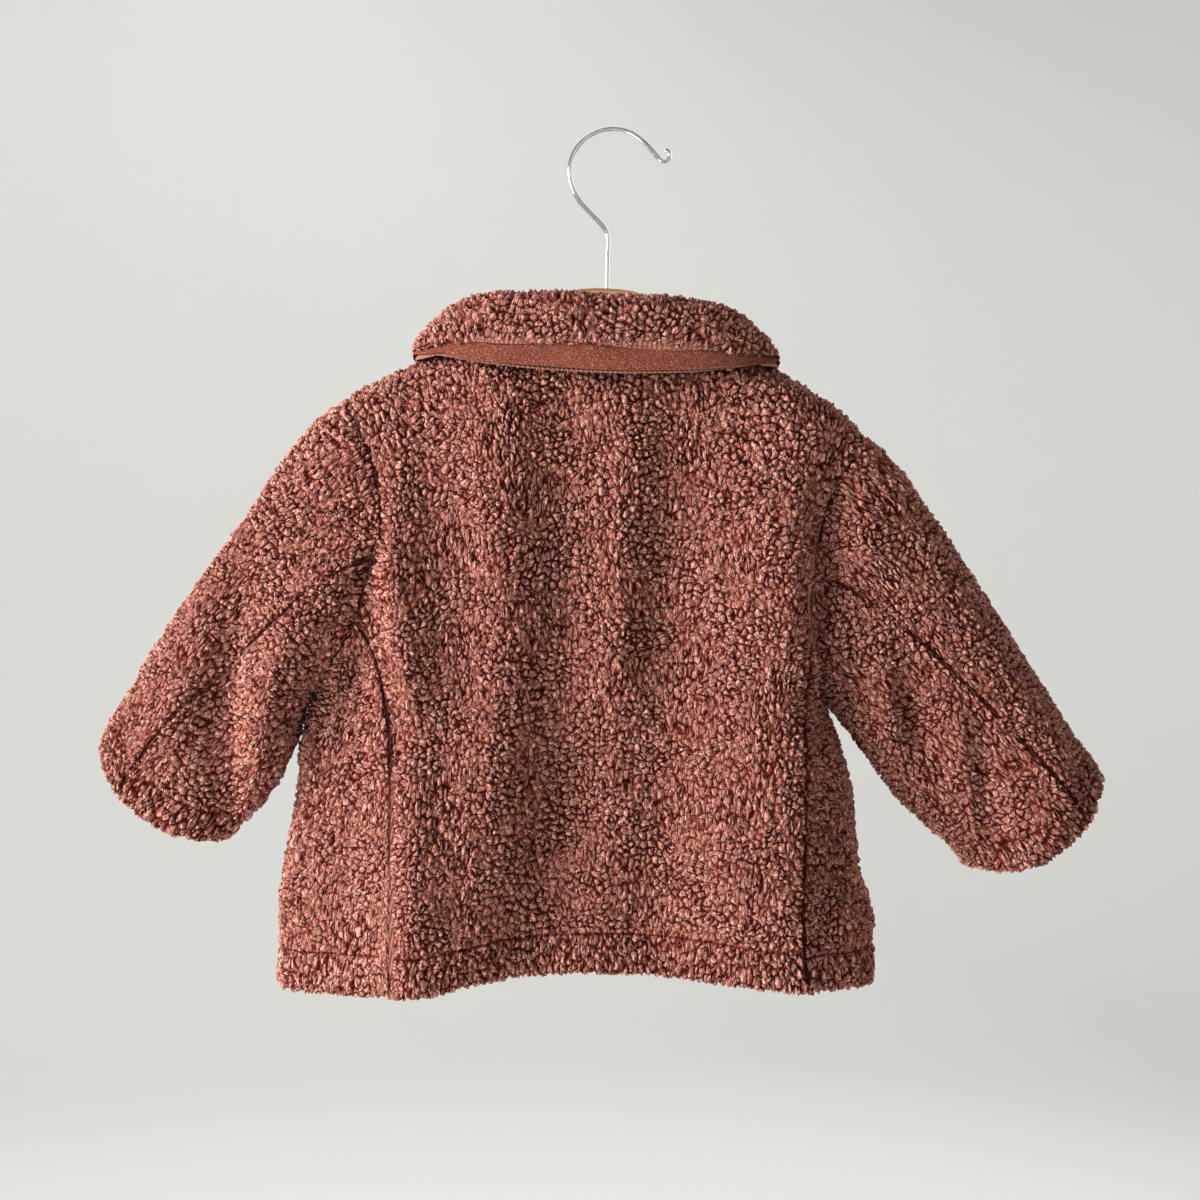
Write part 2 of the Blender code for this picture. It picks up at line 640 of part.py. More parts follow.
def material(name, colour, roughness, metallic=0.0):
    made = bpy.data.materials.new(name)
    made.use_nodes = True
    shader = made.node_tree.nodes["Principled BSDF"]
    shader.inputs["Base Color"].default_value = (*colour, 1)
    shader.inputs["Roughness"].default_value = roughness
    shader.inputs["Metallic"].default_value = metallic
    return made


def link_mesh(group, name, mesh, finish):
    mesh.materials.append(finish)
    mesh.shade_smooth()
    made = bpy.data.objects.new(name, mesh)
    group.objects.link(made)
    return made


def mesh_object(group, name, points, faces, finish):
    mesh = bpy.data.meshes.new(name)
    mesh.from_pydata([tuple(float(value) * MM for value in point) for point in points], [], faces)
    return link_mesh(group, name, mesh, finish)


def shape_object(group, name, shape, finish):
    mesh = bpy.data.meshes.new(name)
    shape.to_mesh(mesh)
    shape.free()
    return link_mesh(group, name, mesh, finish)


# ---------------------------------------------------------------------------------------------------
# Collar
# ---------------------------------------------------------------------------------------------------
def shoulder_height(x, y):
    """Height of the body's skin under the collar's cloth, over the shoulders."""
    line = shoulder_points(LEFT if x < NECK_X else RIGHT)
    order = np.argsort(line[:, 0])
    ridge = np.interp(x, line[order, 0], line[order, 2])
    across = max(0, abs(y) - COLLAR_CLOTH) / BODY.read("back" if y < 0 else "front", ridge)
    return ridge - SHOULDER_ROUND * (1 - math.sqrt(1 - across**2)) if across < 1 else -math.inf


def collar_section(side, angle):
    """One section of the upper collar's pile side, from the neck inside, over the roll, to its edge."""
    neck, edge = neck_point(NECK, side, angle), neck_point(FALL_EDGE, side, angle)
    neck[1] -= underlap(neck[0], neck[2], side)
    edge[2] = max(edge[2], shoulder_height(edge[0], edge[1]) + COLLAR_OVER_SHOULDER)
    out, up = neck_outward(side, angle), np.array((0.0, 0.0, 1.0))
    top = ROLL.read("z", angle) - NECK.read("z", angle)
    radius = min(ROLL_RADIUS, top - ROLL_LOWEST)
    middle = neck + out * ROLL.read("lean", angle) + up * (top - radius)
    stand = top - radius - COLLAR_BASE
    foot = middle - out * (radius + stand * STAND_LEAN) - up * stand
    points = [foot, (foot + middle - out * radius) / 2]
    for turn in ROLL_TURNS:
        a = math.radians(turn)
        points.append(middle + (out * math.cos(a) + up * math.sin(a)) * radius)
    last, way = points[-1], edge - points[-1]
    puff = out - way * (out @ way) / (way @ way)
    for t in FALL_PARTS:
        points.append(last + way * t + puff * FALL_PUFF * math.sin(math.pi * t))
    return points


def collar_angles():
    angles = [(LEFT, angle) for angle in FRONT_NECK_ANGLES[:0:-1]]
    angles += [(LEFT, angle) for angle in BACK_NECK_ANGLES[:0:-1]]
    angles += [(RIGHT, angle) for angle in BACK_NECK_ANGLES]
    return angles + [(RIGHT, angle) for angle in FRONT_NECK_ANGLES[1:]]


def make_collar(group, pile, fleece):
    sections = [collar_section(side, angle) for side, angle in collar_angles()]
    upper = Skin()
    numbers = upper.add("collar_upper", sections, flip=True)
    upper.upright = {number for column in numbers for number in column[:3]}
    for column in numbers:
        upper.thickness[column[-1]] = COLLAR_EDGE_CLOTH
        upper.thickness[column[-2]] = (COLLAR_EDGE_CLOTH + PILE_CLOTH) / 2
    upper.sink_seams()
    mesh_object(group, "collar_upper", *upper.wall("collar_upper"), pile)

    normals = upper.normals()
    behind = []
    for column, (_side, angle) in zip(numbers, collar_angles()):
        line = [upper.points[n] - normals[n] * (upper.thickness[n] + SEAM_GAP) for n in column]
        width, swell = (UNDER_STRIP.read(name, angle) for name in ("width", "swell"))
        onward = (line[-1] - line[-2]) / np.linalg.norm(line[-1] - line[-2])
        end, outward = line[-1], normals[column[-1]]
        for rise, reach in STRIP_SECTION:
            line.append(end + (outward * rise * swell + onward * reach) * width)
        behind.append(line)
    under = Skin()
    numbers = under.add("collar_under", behind, flip=True)
    under.upright = {number for column in numbers for number in column[:3]}
    under.thickness = [PLAIN_FLEECE] * len(under.points)
    mesh_object(group, "collar_under", *under.wall("collar_under"), fleece)


# ---------------------------------------------------------------------------------------------------
# Hanger and buttons
# ---------------------------------------------------------------------------------------------------
def round_edges(shape, sharp, size):
    """Bevel the edges whose faces meet at more than the sharp angle."""
    edges = [edge for edge in shape.edges if edge.calc_face_angle(0) > math.radians(sharp)]
    bmesh.ops.bevel(shape, geom=edges, offset=size * MM, segments=2, profile=0.5, affect="EDGES",
                    material=-1)


def make_wood(group, cutters, finish):
    """The hanger's shaped bar: one outline, extruded and rounded, bored for its hook."""
    shape = bmesh.new()
    rails = {"top": [], "bottom": []}
    for out in (*(-station for station in WOOD_STATIONS[:0:-1]), *WOOD_STATIONS):
        for edge, rail in rails.items():
            z = WOOD.read(edge, abs(out)) + WOOD_TILT * out
            rail.append(shape.verts.new(((WOOD_X + out) * MM, -WOOD_THICKNESS / 2 * MM, z * MM)))
    top, bottom = rails["top"], rails["bottom"]
    for i in range(len(top) - 1):
        shape.faces.new((top[i], top[i + 1], bottom[i + 1], bottom[i]))
    grown = bmesh.ops.extrude_face_region(shape, geom=shape.faces[:], use_keep_orig=True)
    moved = [item for item in grown["geom"] if isinstance(item, bmesh.types.BMVert)]
    bmesh.ops.translate(shape, verts=moved, vec=(0, WOOD_THICKNESS * MM, 0))
    bmesh.ops.recalc_face_normals(shape, faces=shape.faces[:])
    round_edges(shape, WOOD_SHARP, WOOD_BEVEL)
    wood = shape_object(group, "hanger_wood", shape, finish)

    shape = bmesh.new()
    bmesh.ops.create_cone(shape, cap_ends=True, segments=16, radius1=HOOK_BORE / 2 * MM,
                          radius2=HOOK_BORE / 2 * MM, depth=2 * HOOK_BORE_DEPTH * MM)
    bore = shape_object(cutters, "hook_bore", shape, finish)
    bore.location = (HOOK_FOOT_X * MM, 0, WOOD.read("top", 0) * MM)
    bore.hide_render = True
    bore.display_type = "WIRE"
    cut = wood.modifiers.new("hook bore", "BOOLEAN")
    cut.operation = "DIFFERENCE"
    cut.solver = "EXACT"
    cut.object = bore


def hook_route():
    """The wire's centre line: shaft, crank, round crown and turned end."""
    foot_z = WOOD.read("top", 0) - HOOK_BORE_DEPTH + HOOK_BOTTOM_GAP
    crown = []
    for turn in HOOK_CROWN:
        a = math.radians(turn)
        crown.append((HOOK_CENTRE[0] + HOOK_RADIUS * math.cos(a), HOOK_CENTRE[1] + HOOK_RADIUS * math.sin(a)))
    return [(HOOK_FOOT_X, foot_z), *HOOK_SHAFT, *crown, *HOOK_END]


def make_hook(group, finish):
    curve = bpy.data.curves.new("hanger_hook", "CURVE")
    curve.dimensions = "3D"
    curve.bevel_depth = HOOK_WIRE / 2 * MM
    curve.bevel_resolution = 2
    curve.use_fill_caps = True
    route = hook_route()
    spline = curve.splines.new("POLY")
    spline.points.add(len(route) - 1)
    for point, (x, z) in zip(spline.points, route):
        point.co = (x * MM, 0, z * MM, 1)
    curve.materials.append(finish)
    group.objects.link(bpy.data.objects.new("hanger_hook", curve))


def make_buttons(group, front, finish):
    """Turned buttons along the centre front, just clear of the cloth."""
    lower, upper = front
    cloth = np.concatenate((lower[WRAP_COLUMNS:].reshape(-1, 3), upper.reshape(-1, 3)))
    for number, z in enumerate(BUTTON_HEIGHTS, start=1):
        x = CENTRE_FRONT.read("x", z)
        near = np.hypot(cloth[:, 0] - x, cloth[:, 2] - z) < BUTTON_CLEARANCE_REACH
        back = cloth[near, 1].max() + BUTTON_LIFT
        shape = bmesh.new()
        bmesh.ops.create_cone(shape, cap_ends=True, segments=20, radius1=BUTTON_RADIUS * MM,
                              radius2=BUTTON_RADIUS * MM, depth=BUTTON_THICKNESS * MM)
        round_edges(shape, BUTTON_SHARP, BUTTON_RIM)
        button = shape_object(group, f"button_{number}", shape, finish)
        button.rotation_euler = (math.radians(90), 0, 0)
        button.location = (x * MM, (back + BUTTON_THICKNESS / 2) * MM, z * MM)


def make_jacket(group, pile):
    """All panels of body and sleeves, from one shared skin."""
    skin = Skin()
    back = back_panel()
    fronts = {side: front_panel(side) for side in (LEFT, RIGHT)}
    numbers = skin.add("back", back)
    for column in numbers:
        skin.sink_points([column[STITCH_ROW]], STITCH_SINK)
    for side, word in ((LEFT, "left"), (RIGHT, "right")):
        flip = side == LEFT
        lower, upper = fronts[side]
        numbers = skin.add(f"front_{word}", lower, flip)
        skin.add(f"front_{word}", upper, flip)
        for column in numbers:
            skin.sink_points([column[STITCH_ROW]], STITCH_SINK)
        ring = armhole_ring(side, back, fronts[side])
        for point in ring[ARMPIT]:
            skin.gap[skin.index(point)] = ARMPIT_GAP
        sleeve = sleeve_panel(side, ring)
        numbers = skin.add(f"sleeve_{word}_upper", sleeve[: BACK_SEAM + 1], flip)
        numbers += skin.add(f"sleeve_{word}_under", sleeve[BACK_SEAM : UNDER_SEAM + 1], flip)
        numbers += skin.add(f"sleeve_{word}_upper", sleeve[UNDER_SEAM:], flip)
        for column in numbers:
            skin.sink_points([column[CUFF_STITCH_ROW]], STITCH_SINK)
    skin.sink_seams()
    for name in skin.panels:
        mesh_object(group, name, *skin.wall(name), pile)
    return fronts


def main():
    clear_scene()
    group = collection("fleece_jacket")
    cutters = collection("cutters")
    pile = material("teddy fleece", (0.42, 0.17, 0.115), 0.95)
    fleece = material("plain fleece", (0.47, 0.19, 0.12), 0.9)
    beech = material("beech wood", (0.55, 0.31, 0.15), 0.5)
    chrome = material("chrome wire", (0.75, 0.75, 0.76), 0.18, 1.0)
    resin = material("button resin", (0.19, 0.1, 0.07), 0.35)
    fronts = make_jacket(group, pile)
    make_collar(group, pile, fleece)
    make_wood(group, cutters, beech)
    make_hook(group, chrome)
    make_buttons(group, fronts[RIGHT], resin)


main()
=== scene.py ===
# %% [markdown]
# # A teddy-fleece jacket on its hanger
#
# A baby's jacket is sewn from eight panels of teddy fleece and a finer under collar, and it hangs on a small
# wooden hanger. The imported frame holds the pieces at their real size. This lesson dresses them: each panel
# gets a knitted ground and a curly pile, and the buttons, the wood and the wire get their finishes.

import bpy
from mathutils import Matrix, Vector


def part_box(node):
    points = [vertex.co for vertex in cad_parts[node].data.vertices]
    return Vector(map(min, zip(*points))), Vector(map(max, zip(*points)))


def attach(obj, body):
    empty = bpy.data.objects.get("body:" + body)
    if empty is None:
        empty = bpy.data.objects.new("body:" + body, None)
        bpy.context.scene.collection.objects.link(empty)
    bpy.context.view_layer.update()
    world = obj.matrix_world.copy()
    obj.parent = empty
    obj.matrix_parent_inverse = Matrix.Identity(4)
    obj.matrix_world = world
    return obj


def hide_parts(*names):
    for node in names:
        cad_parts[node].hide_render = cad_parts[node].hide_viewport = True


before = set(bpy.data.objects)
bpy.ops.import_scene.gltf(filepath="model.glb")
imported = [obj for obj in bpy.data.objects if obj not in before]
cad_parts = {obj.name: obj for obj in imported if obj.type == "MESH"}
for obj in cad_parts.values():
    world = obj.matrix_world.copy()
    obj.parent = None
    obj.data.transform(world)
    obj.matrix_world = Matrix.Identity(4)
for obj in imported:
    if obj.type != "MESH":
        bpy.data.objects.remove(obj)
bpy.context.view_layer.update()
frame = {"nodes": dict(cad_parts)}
print("nodes:", ", ".join(frame["nodes"]))

# %% Modules and units
import math

import bmesh
import bpy
import mathutils
import numpy as np
from mathutils import Matrix, Vector
from mathutils.bvhtree import BVHTree
from mathutils.kdtree import KDTree

MM = 0.001

# %% [markdown]
# ## Camera, room and light
#
# The jacket is seen level and straight from behind, from nearly a metre away. A studio cove, a floor that
# curves up into a wall all round, keeps the background plain from every side. It is one profile, spun.

# %% Camera
VIEW_MIDDLE = Vector((-7.2, 0, -281.4)) * MM
VIEW_WIDTH = 720 * MM
VIEW_DISTANCE = 950 * MM
SENSOR = 36

lens = bpy.data.cameras.new("camera")
lens.sensor_width = SENSOR
lens.lens = SENSOR * VIEW_DISTANCE / VIEW_WIDTH
lens.clip_start = 0.01
camera = bpy.data.objects.new("camera", lens)
camera.location = VIEW_MIDDLE + Vector((0, -VIEW_DISTANCE, 0))
camera.rotation_euler = (math.radians(90), 0, 0)
bpy.context.scene.collection.objects.link(camera)
bpy.context.scene.camera = camera
print("lens:", round(lens.lens, 1), "mm")


# %% Helpers for node trees
def add_node(tree, kind, inputs=(), **settings):
    """A node with its settings; inputs are (socket, value or other socket) pairs."""
    node = tree.nodes.new(kind)
    for name, value in settings.items():
        setattr(node, name, value)
    for socket, value in inputs:
        if isinstance(value, bpy.types.NodeSocket):
            tree.links.new(value, node.inputs[socket])
        else:
            node.inputs[socket].default_value = value
    return node


def sums(tree, operation, *values):
    return add_node(tree, "ShaderNodeMath", list(enumerate(values)), operation=operation).outputs[0]


def times(tree, first, second):
    return sums(tree, "MULTIPLY", first, second)


def vectors(tree, operation, *values, scale=None):
    inputs = list(enumerate(values))
    if scale is not None:
        inputs.append(("Scale", scale))
    return add_node(tree, "ShaderNodeVectorMath", inputs, operation=operation).outputs["Vector"]


def step(tree, value, low, high, to_low=0.0, to_high=1.0):
    """A smooth step from one value to another."""
    inputs = (("Value", value), ("From Min", low), ("From Max", high),
              ("To Min", to_low), ("To Max", to_high))
    return add_node(tree, "ShaderNodeMapRange", inputs, interpolation_type="SMOOTHSTEP").outputs["Result"]


MOST_NOISE = (0.3, 0.7)  # nearly all of a noise lies between these


def noise(tree, place, size, detail=1.0, output="Fac"):
    """Noise whose features are about this size, in metres."""
    inputs = (("Vector", place), ("Scale", 1 / size), ("Detail", detail))
    return add_node(tree, "ShaderNodeTexNoise", inputs).outputs[output]


def colours(tree, value, *stops):
    """A colour ramp from (position, colour) stops."""
    ramp = add_node(tree, "ShaderNodeValToRGB", [("Fac", value)])
    marks = ramp.color_ramp.elements
    while len(marks) < len(stops):
        marks.new(0.5)
    for mark, (position, colour) in zip(marks, stops):
        mark.position = position
        mark.color = (*colour, 1)
    return ramp.outputs["Color"]


def bands(tree, place, size, distortion, detail, detail_scale, **settings):
    """Wavy bands, about three of them in each size; the size is in metres."""
    inputs = (("Vector", place), ("Scale", 1 / size), ("Distortion", distortion), ("Detail", detail),
              ("Detail Scale", detail_scale))
    return add_node(tree, "ShaderNodeTexWave", inputs, **settings).outputs["Fac"]


def own_place(tree):
    """Object coordinates, for a pattern that runs through a piece."""
    return add_node(tree, "ShaderNodeTexCoord").outputs["Object"]


def own_flat(tree):
    """The piece's own flat pattern, for a finish that follows the cloth."""
    return add_node(tree, "ShaderNodeUVMap", uv_map="UVMap").outputs["UV"]


def bump(tree, height, depth):
    """A normal that tilts with the height; depth in metres."""
    inputs = (("Strength", 1.0), ("Distance", depth), ("Height", height))
    return add_node(tree, "ShaderNodeBump", inputs).outputs["Normal"]


# %% Helpers for materials
def socket_name(word):
    return word.replace("_", " ").title().replace("Ior", "IOR")


def new_material(name, **values):
    """A material with its shader; values that hold all over are set on the shader's sockets."""
    made = bpy.data.materials.new(name)
    made.use_nodes = True
    shader = made.node_tree.nodes["Principled BSDF"]
    for word, value in values.items():
        shader.inputs[socket_name(word)].default_value = value
    return made, made.node_tree, shader


def connect(tree, shader, **sockets):
    for word, output in sockets.items():
        tree.links.new(output, shader.inputs[socket_name(word)])


def dress(piece, material):
    """Give a piece this material and no other."""
    piece.data.materials.clear()
    piece.data.materials.append(material)


# %% Helpers for pieces
SAME_POINT = 0.01 * MM  # points nearer than this are one
SPIN_STEPS = 48


def as_object(name, shape):
    mesh = bpy.data.meshes.new(name)
    shape.to_mesh(mesh)
    shape.free()
    mesh.shade_smooth()
    made = bpy.data.objects.new(name, mesh)
    bpy.context.scene.collection.objects.link(made)
    return made


def spun(profile):
    """A profile of (distance from the axis, height) points, spun about the upright axis."""
    shape = bmesh.new()
    points = [shape.verts.new((x, 0, z)) for x, z in profile]
    edges = [shape.edges.new(pair) for pair in zip(points, points[1:])]
    bmesh.ops.spin(shape, geom=points + edges, axis=(0, 0, 1), cent=(0, 0, 0), angle=math.tau,
                   steps=SPIN_STEPS, use_merge=True)
    bmesh.ops.remove_doubles(shape, verts=shape.verts[:], dist=SAME_POINT)
    bmesh.ops.recalc_face_normals(shape, faces=shape.faces[:])
    return shape


# %% The cove
COVE_FLOOR = -1.25
COVE_RADIUS = 3.6
COVE_CURVE = 1.2
COVE_TOP = 2.6
AXIS_GAP = 1 * MM  # the profile starts this far from the axis

flat_floor = COVE_RADIUS - COVE_CURVE
profile = [(AXIS_GAP, COVE_FLOOR), (flat_floor, COVE_FLOOR)]
for turn in range(10, 100, 10):
    a = math.radians(turn)
    profile.append((flat_floor + COVE_CURVE * math.sin(a), COVE_FLOOR + COVE_CURVE * (1 - math.cos(a))))
profile.append((COVE_RADIUS, COVE_TOP))
cove = as_object("cove", spun(profile))
plaster, _, _ = new_material("pale paint", base_color=(0.72, 0.72, 0.70, 1), roughness=0.95)
dress(cove, plaster)
print("cove:", len(cove.data.polygons), "faces")


# %% Soft lights
def soft_light(name, place, size, power, colour, towards):
    lamp = bpy.data.lights.new(name, "AREA")
    lamp.energy = power
    lamp.size = size
    lamp.color = colour
    made = bpy.data.objects.new(name, lamp)
    made.location = place
    made.rotation_euler = (Vector(towards) - Vector(place)).to_track_quat("-Z", "Y").to_euler()
    bpy.context.scene.collection.objects.link(made)


JACKET = tuple(VIEW_MIDDLE)
soft_light("window", (-1.60, -0.62, 0.12), 0.7, 64, (1.0, 0.98, 0.955), JACKET)
soft_light("low window", (-0.85, -0.75, -1.15), 0.6, 18, (1.0, 0.99, 0.98), JACKET)
soft_light("room", (0.9, -2.2, 0.3), 1.6, 6, (0.95, 0.97, 1.0), JACKET)
soft_light("behind", (1.3, 1.5, 0.5), 1.2, 14, (1.0, 0.98, 0.95), JACKET)
soft_light("back wall", (-0.5, 1.5, 1.9), 2.0, 30, (1.0, 1.0, 1.0), (-1.4, 2.6, -1.7))
soft_light("front wall", (0, -1.5, 1.9), 2.0, 6, (1.0, 1.0, 1.0), (0, -4.2, -0.4))
sky = bpy.data.worlds.new("sky")
sky.use_nodes = True
sky.node_tree.nodes["Background"].inputs["Color"].default_value = (0.97, 0.98, 1.0, 1)
sky.node_tree.nodes["Background"].inputs["Strength"].default_value = 0.32
bpy.context.scene.world = sky
bpy.context.scene.view_settings.view_transform = "Standard"

# %% [markdown]
# ## Splitting a panel's wall
#
# A panel of teddy fleece is a knitted ground on the wearer's side with pile on the outer side. The frame's
# panel is one closed wall, so it is split: the faces that look in towards the middle of the garment become
# the ground, and the outer faces, with the wall's edges, become the pile. The middle of a sleeve or of the
# body is a flat strip, its core, and a face looks inward when it points at the core.

# %% Cores of the body and sleeves
CORES = {
    # middle's upper end (x, z), lower end (x, z), half width at each end, in mm
    "body": ((-22, -215), (-22, -600), 110, 110),
    "left": ((-168, -247), (-300, -442), 60, 20),
    "right": ((142, -259), (285, -475), 55, 20),
}
PANEL_CORES = {
    "back": "body", "front_left": "body", "front_right": "body",
    "sleeve_left_upper": "left", "sleeve_left_under": "left",
    "sleeve_right_upper": "right", "sleeve_right_under": "right",
}
PANELS = [*PANEL_CORES, "collar_upper", "collar_under"]
print("panels:", ", ".join(PANELS))


def beside_core(places, core):
    """How far places are along and across a core, their offsets, and the core's run and way across."""
    (top_x, top_z), (low_x, low_z), _, _ = core
    top = np.array((top_x, 0, top_z)) * MM
    run = np.array((low_x, 0, low_z)) * MM - top
    along = run / np.linalg.norm(run)
    across = np.array((along[2], 0, -along[0]))
    offset = places - top
    return offset @ along, offset @ across, offset, run, across


def out_of_core(places, core):
    """Unit ways out of a core at many places."""
    far, aside, offset, run, across = beside_core(places, core)
    _, _, top_width, low_width = core
    t = np.clip(far / np.linalg.norm(run), 0, 1)
    width = (top_width + (low_width - top_width) * t) * MM
    aside = np.clip(aside, -width, width)
    way = offset - np.outer(t, run) - np.outer(aside, across)
    return way / np.linalg.norm(way, axis=1, keepdims=True)


# %% Reading the frame's meshes
FLAT_PAIR = math.radians(50)  # two triangles that meet no more sharply than this are joined


def merged_copy(name):
    """A copy of a node's mesh, merged, with its triangles joined in pairs."""
    shape = bmesh.new()
    shape.from_mesh(bpy.data.objects[name].data)
    bmesh.ops.remove_doubles(shape, verts=shape.verts[:], dist=SAME_POINT)
    bmesh.ops.join_triangles(shape, faces=shape.faces[:], angle_face_threshold=FLAT_PAIR,
                             angle_shape_threshold=math.pi)
    return shape


def islands(faces):
    """The connected patches of a set of faces, largest first."""
    left, found = set(faces), []
    while left:
        patch = [left.pop()]
        for face in patch:
            near = {other for edge in face.edges for other in edge.link_faces} & left
            left -= near
            patch += near
        found.append(patch)
    return sorted(found, key=len, reverse=True)


def solid_tree(names):
    """A search tree over some of the frame's nodes."""
    joined = bmesh.new()
    for name in names:
        joined.from_mesh(bpy.data.objects[name].data)
    tree = BVHTree.FromBMesh(joined)
    joined.free()
    return tree


# %% Neighbours and the way out
def neighbours(name):
    """The panels that a panel is sewn to."""
    unsewn = ({"collar_upper", "collar_under"}, {"front_left", "front_right"})
    return [other for other in PANELS if other != name and {name, other} not in unsewn]


def ways_out(name, places):
    """Unit ways out of the garment at places on a panel."""
    if name in PANEL_CORES:
        return out_of_core(places, CORES[PANEL_CORES[name]])
    other, sign = ("collar_under", 1) if name == "collar_upper" else ("collar_upper", -1)
    facing = solid_tree([other])
    ways = np.array([Vector(place) - facing.find_nearest(place)[0] for place in places]) * sign
    return ways / np.linalg.norm(ways, axis=1, keepdims=True)


# %% Pile side and ground side
INWARD = -0.3  # a face looks inward when its normal goes less than this far along the way out


def split_wall(name):
    """The panel's pile side with its edges, and its ground side, as two open meshes."""
    pile, ground = merged_copy(name), merged_copy(name)
    middles = np.array([face.calc_center_median() for face in pile.faces])
    normals = np.array([face.normal for face in pile.faces])
    looks_in = (normals * ways_out(name, middles)).sum(axis=1) < INWARD
    outward = {face for face, inner in zip(pile.faces, looks_in) if not inner}
    outer = {face.index for face in islands(outward)[0]}
    ground.faces.ensure_lookup_table()
    inner_faces = [face for face in pile.faces if face.index not in outer]
    outer_faces = [ground.faces[index] for index in outer]
    bmesh.ops.delete(pile, geom=inner_faces, context="FACES")
    bmesh.ops.delete(ground, geom=outer_faces, context="FACES")
    return pile, ground


# %% Allowances
SEWN = 1.2 * MM  # nearer than this to a neighbour, an edge is sewn to it
ALLOWANCE = 4 * MM  # cloth beyond the stitching
SETBACK = 3.5 * MM  # a free edge of the ground stays this far behind the pile's


def add_allowance(ground, name):
    """Reach under the neighbours at seams, and stay behind the pile at free edges."""
    sewn_to = solid_tree(neighbours(name))
    moves = []
    for vert in ground.verts:
        if vert.is_boundary:
            middles = [face.calc_center_median() for face in vert.link_faces]
            away = (vert.co - sum(middles, Vector()) / len(middles)).normalized()
            reach = ALLOWANCE if sewn_to.find_nearest(vert.co)[3] < SEWN else -SETBACK
            moves.append((vert, away * reach))
    for vert, move in moves:
        vert.co += move


# %% Splitting the panels
LONG_EDGE = {"front_left": 13, "front_right": 13, "collar_upper": 13, "collar_under": 20}
OTHER_LONG_EDGE = 12

piles, grounds = {}, {}
for name in PANELS:
    pile, ground = split_wall(name)
    longest = LONG_EDGE.get(name, OTHER_LONG_EDGE) * MM  # a longer edge is halved before smoothing
    long_edges = [edge for edge in pile.edges if edge.calc_length() > longest]
    bmesh.ops.subdivide_edges(pile, edges=long_edges, cuts=1, use_grid_fill=True)
    add_allowance(ground, name)
    corners = [len(face.verts) for face in pile.faces]
    print(f"{name}: pile {len(corners)} faces, {corners.count(3)} triangles; ground {len(ground.faces)}")
    piles[name] = as_object(f"{name}_pile", pile)
    grounds[name] = as_object(f"{name}_ground", ground)

# %% [markdown]
# ## Laying the panels flat
#
# Pile grows on the cloth before it is cut, so its pattern belongs to the flat panel. Unwrapping a panel gives
# that flat pattern. It is then sized so that one unit is one metre, and turned so that the way the pile is
# brushed runs down it. The flat size is also the size that the panel was cut to.

# %% Laying flat
BRUSHED = {  # the way the pile is brushed, in the frame
    "body": Vector((0, 0, -1)),
    "left": Vector((-0.56, 0, -0.83)),
    "right": Vector((0.55, 0, -0.83)),
    "collar": Vector((0, -0.3, -1)),
}


def lay_flat(piece, brushed):
    """Unwrap a panel into metres, brushed down its pattern. Gives the pattern's width and length."""
    bpy.ops.object.select_all(action="DESELECT")
    bpy.context.view_layer.objects.active = piece
    piece.select_set(True)
    bpy.ops.object.mode_set(mode="EDIT")
    bpy.ops.mesh.select_all(action="SELECT")
    bpy.ops.uv.unwrap(method="ANGLE_BASED", margin=0)
    bpy.ops.object.mode_set(mode="OBJECT")
    mesh = piece.data
    flat = np.empty(len(mesh.loops) * 2)
    mesh.uv_layers.active.data.foreach_get("uv", flat)
    flat = flat.reshape(-1, 2)
    flat_area = 0.0
    for face in mesh.polygons:
        ring = flat[list(face.loop_indices)]
        ahead = np.roll(ring, -1, axis=0)
        flat_area += abs((ring[:, 0] * ahead[:, 1] - ring[:, 1] * ahead[:, 0]).sum()) / 2
    area = sum(face.area for face in mesh.polygons)
    flat = (flat - flat.mean(axis=0)) * math.sqrt(area / flat_area)
    down = np.array([mesh.vertices[loop.vertex_index].co.dot(brushed) for loop in mesh.loops])
    slope = np.linalg.lstsq(np.column_stack((flat, np.ones(len(flat)))), down, rcond=None)[0][:2]
    slope /= np.linalg.norm(slope)
    flat = flat @ np.array(((-slope[1], -slope[0]), (slope[0], -slope[1])))
    mesh.uv_layers.active.data.foreach_set("uv", flat.ravel())
    return np.ptp(flat, axis=0)


for name in PANELS:
    brushed = BRUSHED[PANEL_CORES.get(name, "collar")]
    for piece in (piles[name], grounds[name]):
        lay_flat(piece, brushed)

# %% [markdown]
# ## Smoothing the panels and finding their seams
#
# The pile needs points about a millimetre apart, so each panel is smoothed and divided. Every point then
# learns two distances: how near the next panel is, because pile is drawn down into a seam, and how far the
# turned hem or cuff is, because its stitch line presses a groove into the pile. Here and there real curls
# close over a seam, so in patches the points beside it count as further away.

# %% Smoothing a mesh
def settle(piece):
    """Make a piece's modifiers part of its mesh."""
    settled = bpy.data.meshes.new_from_object(piece.evaluated_get(bpy.context.evaluated_depsgraph_get()))
    piece.modifiers.clear()
    first = piece.data
    settled.name = piece.name
    piece.data = settled
    bpy.data.meshes.remove(first)
    settled.shade_smooth()


def refine(piece, levels):
    """Smooth and divide a mesh for good."""
    smooth = piece.modifiers.new("smooth", "SUBSURF")
    smooth.levels = smooth.render_levels = levels
    settle(piece)


# %% Curls that close over a seam
CLOSED_PATCH = 17 * MM  # about the size of the places where curls close over a seam
CLOSED_SHARE = 0.3  # how closed a seam is between its open and its closed places
CLOSED_CONTRAST = 2.0
CLOSED = {"sleeve": 1.2 * MM, "other": 0.5 * MM}  # a closed place counts as this much further away


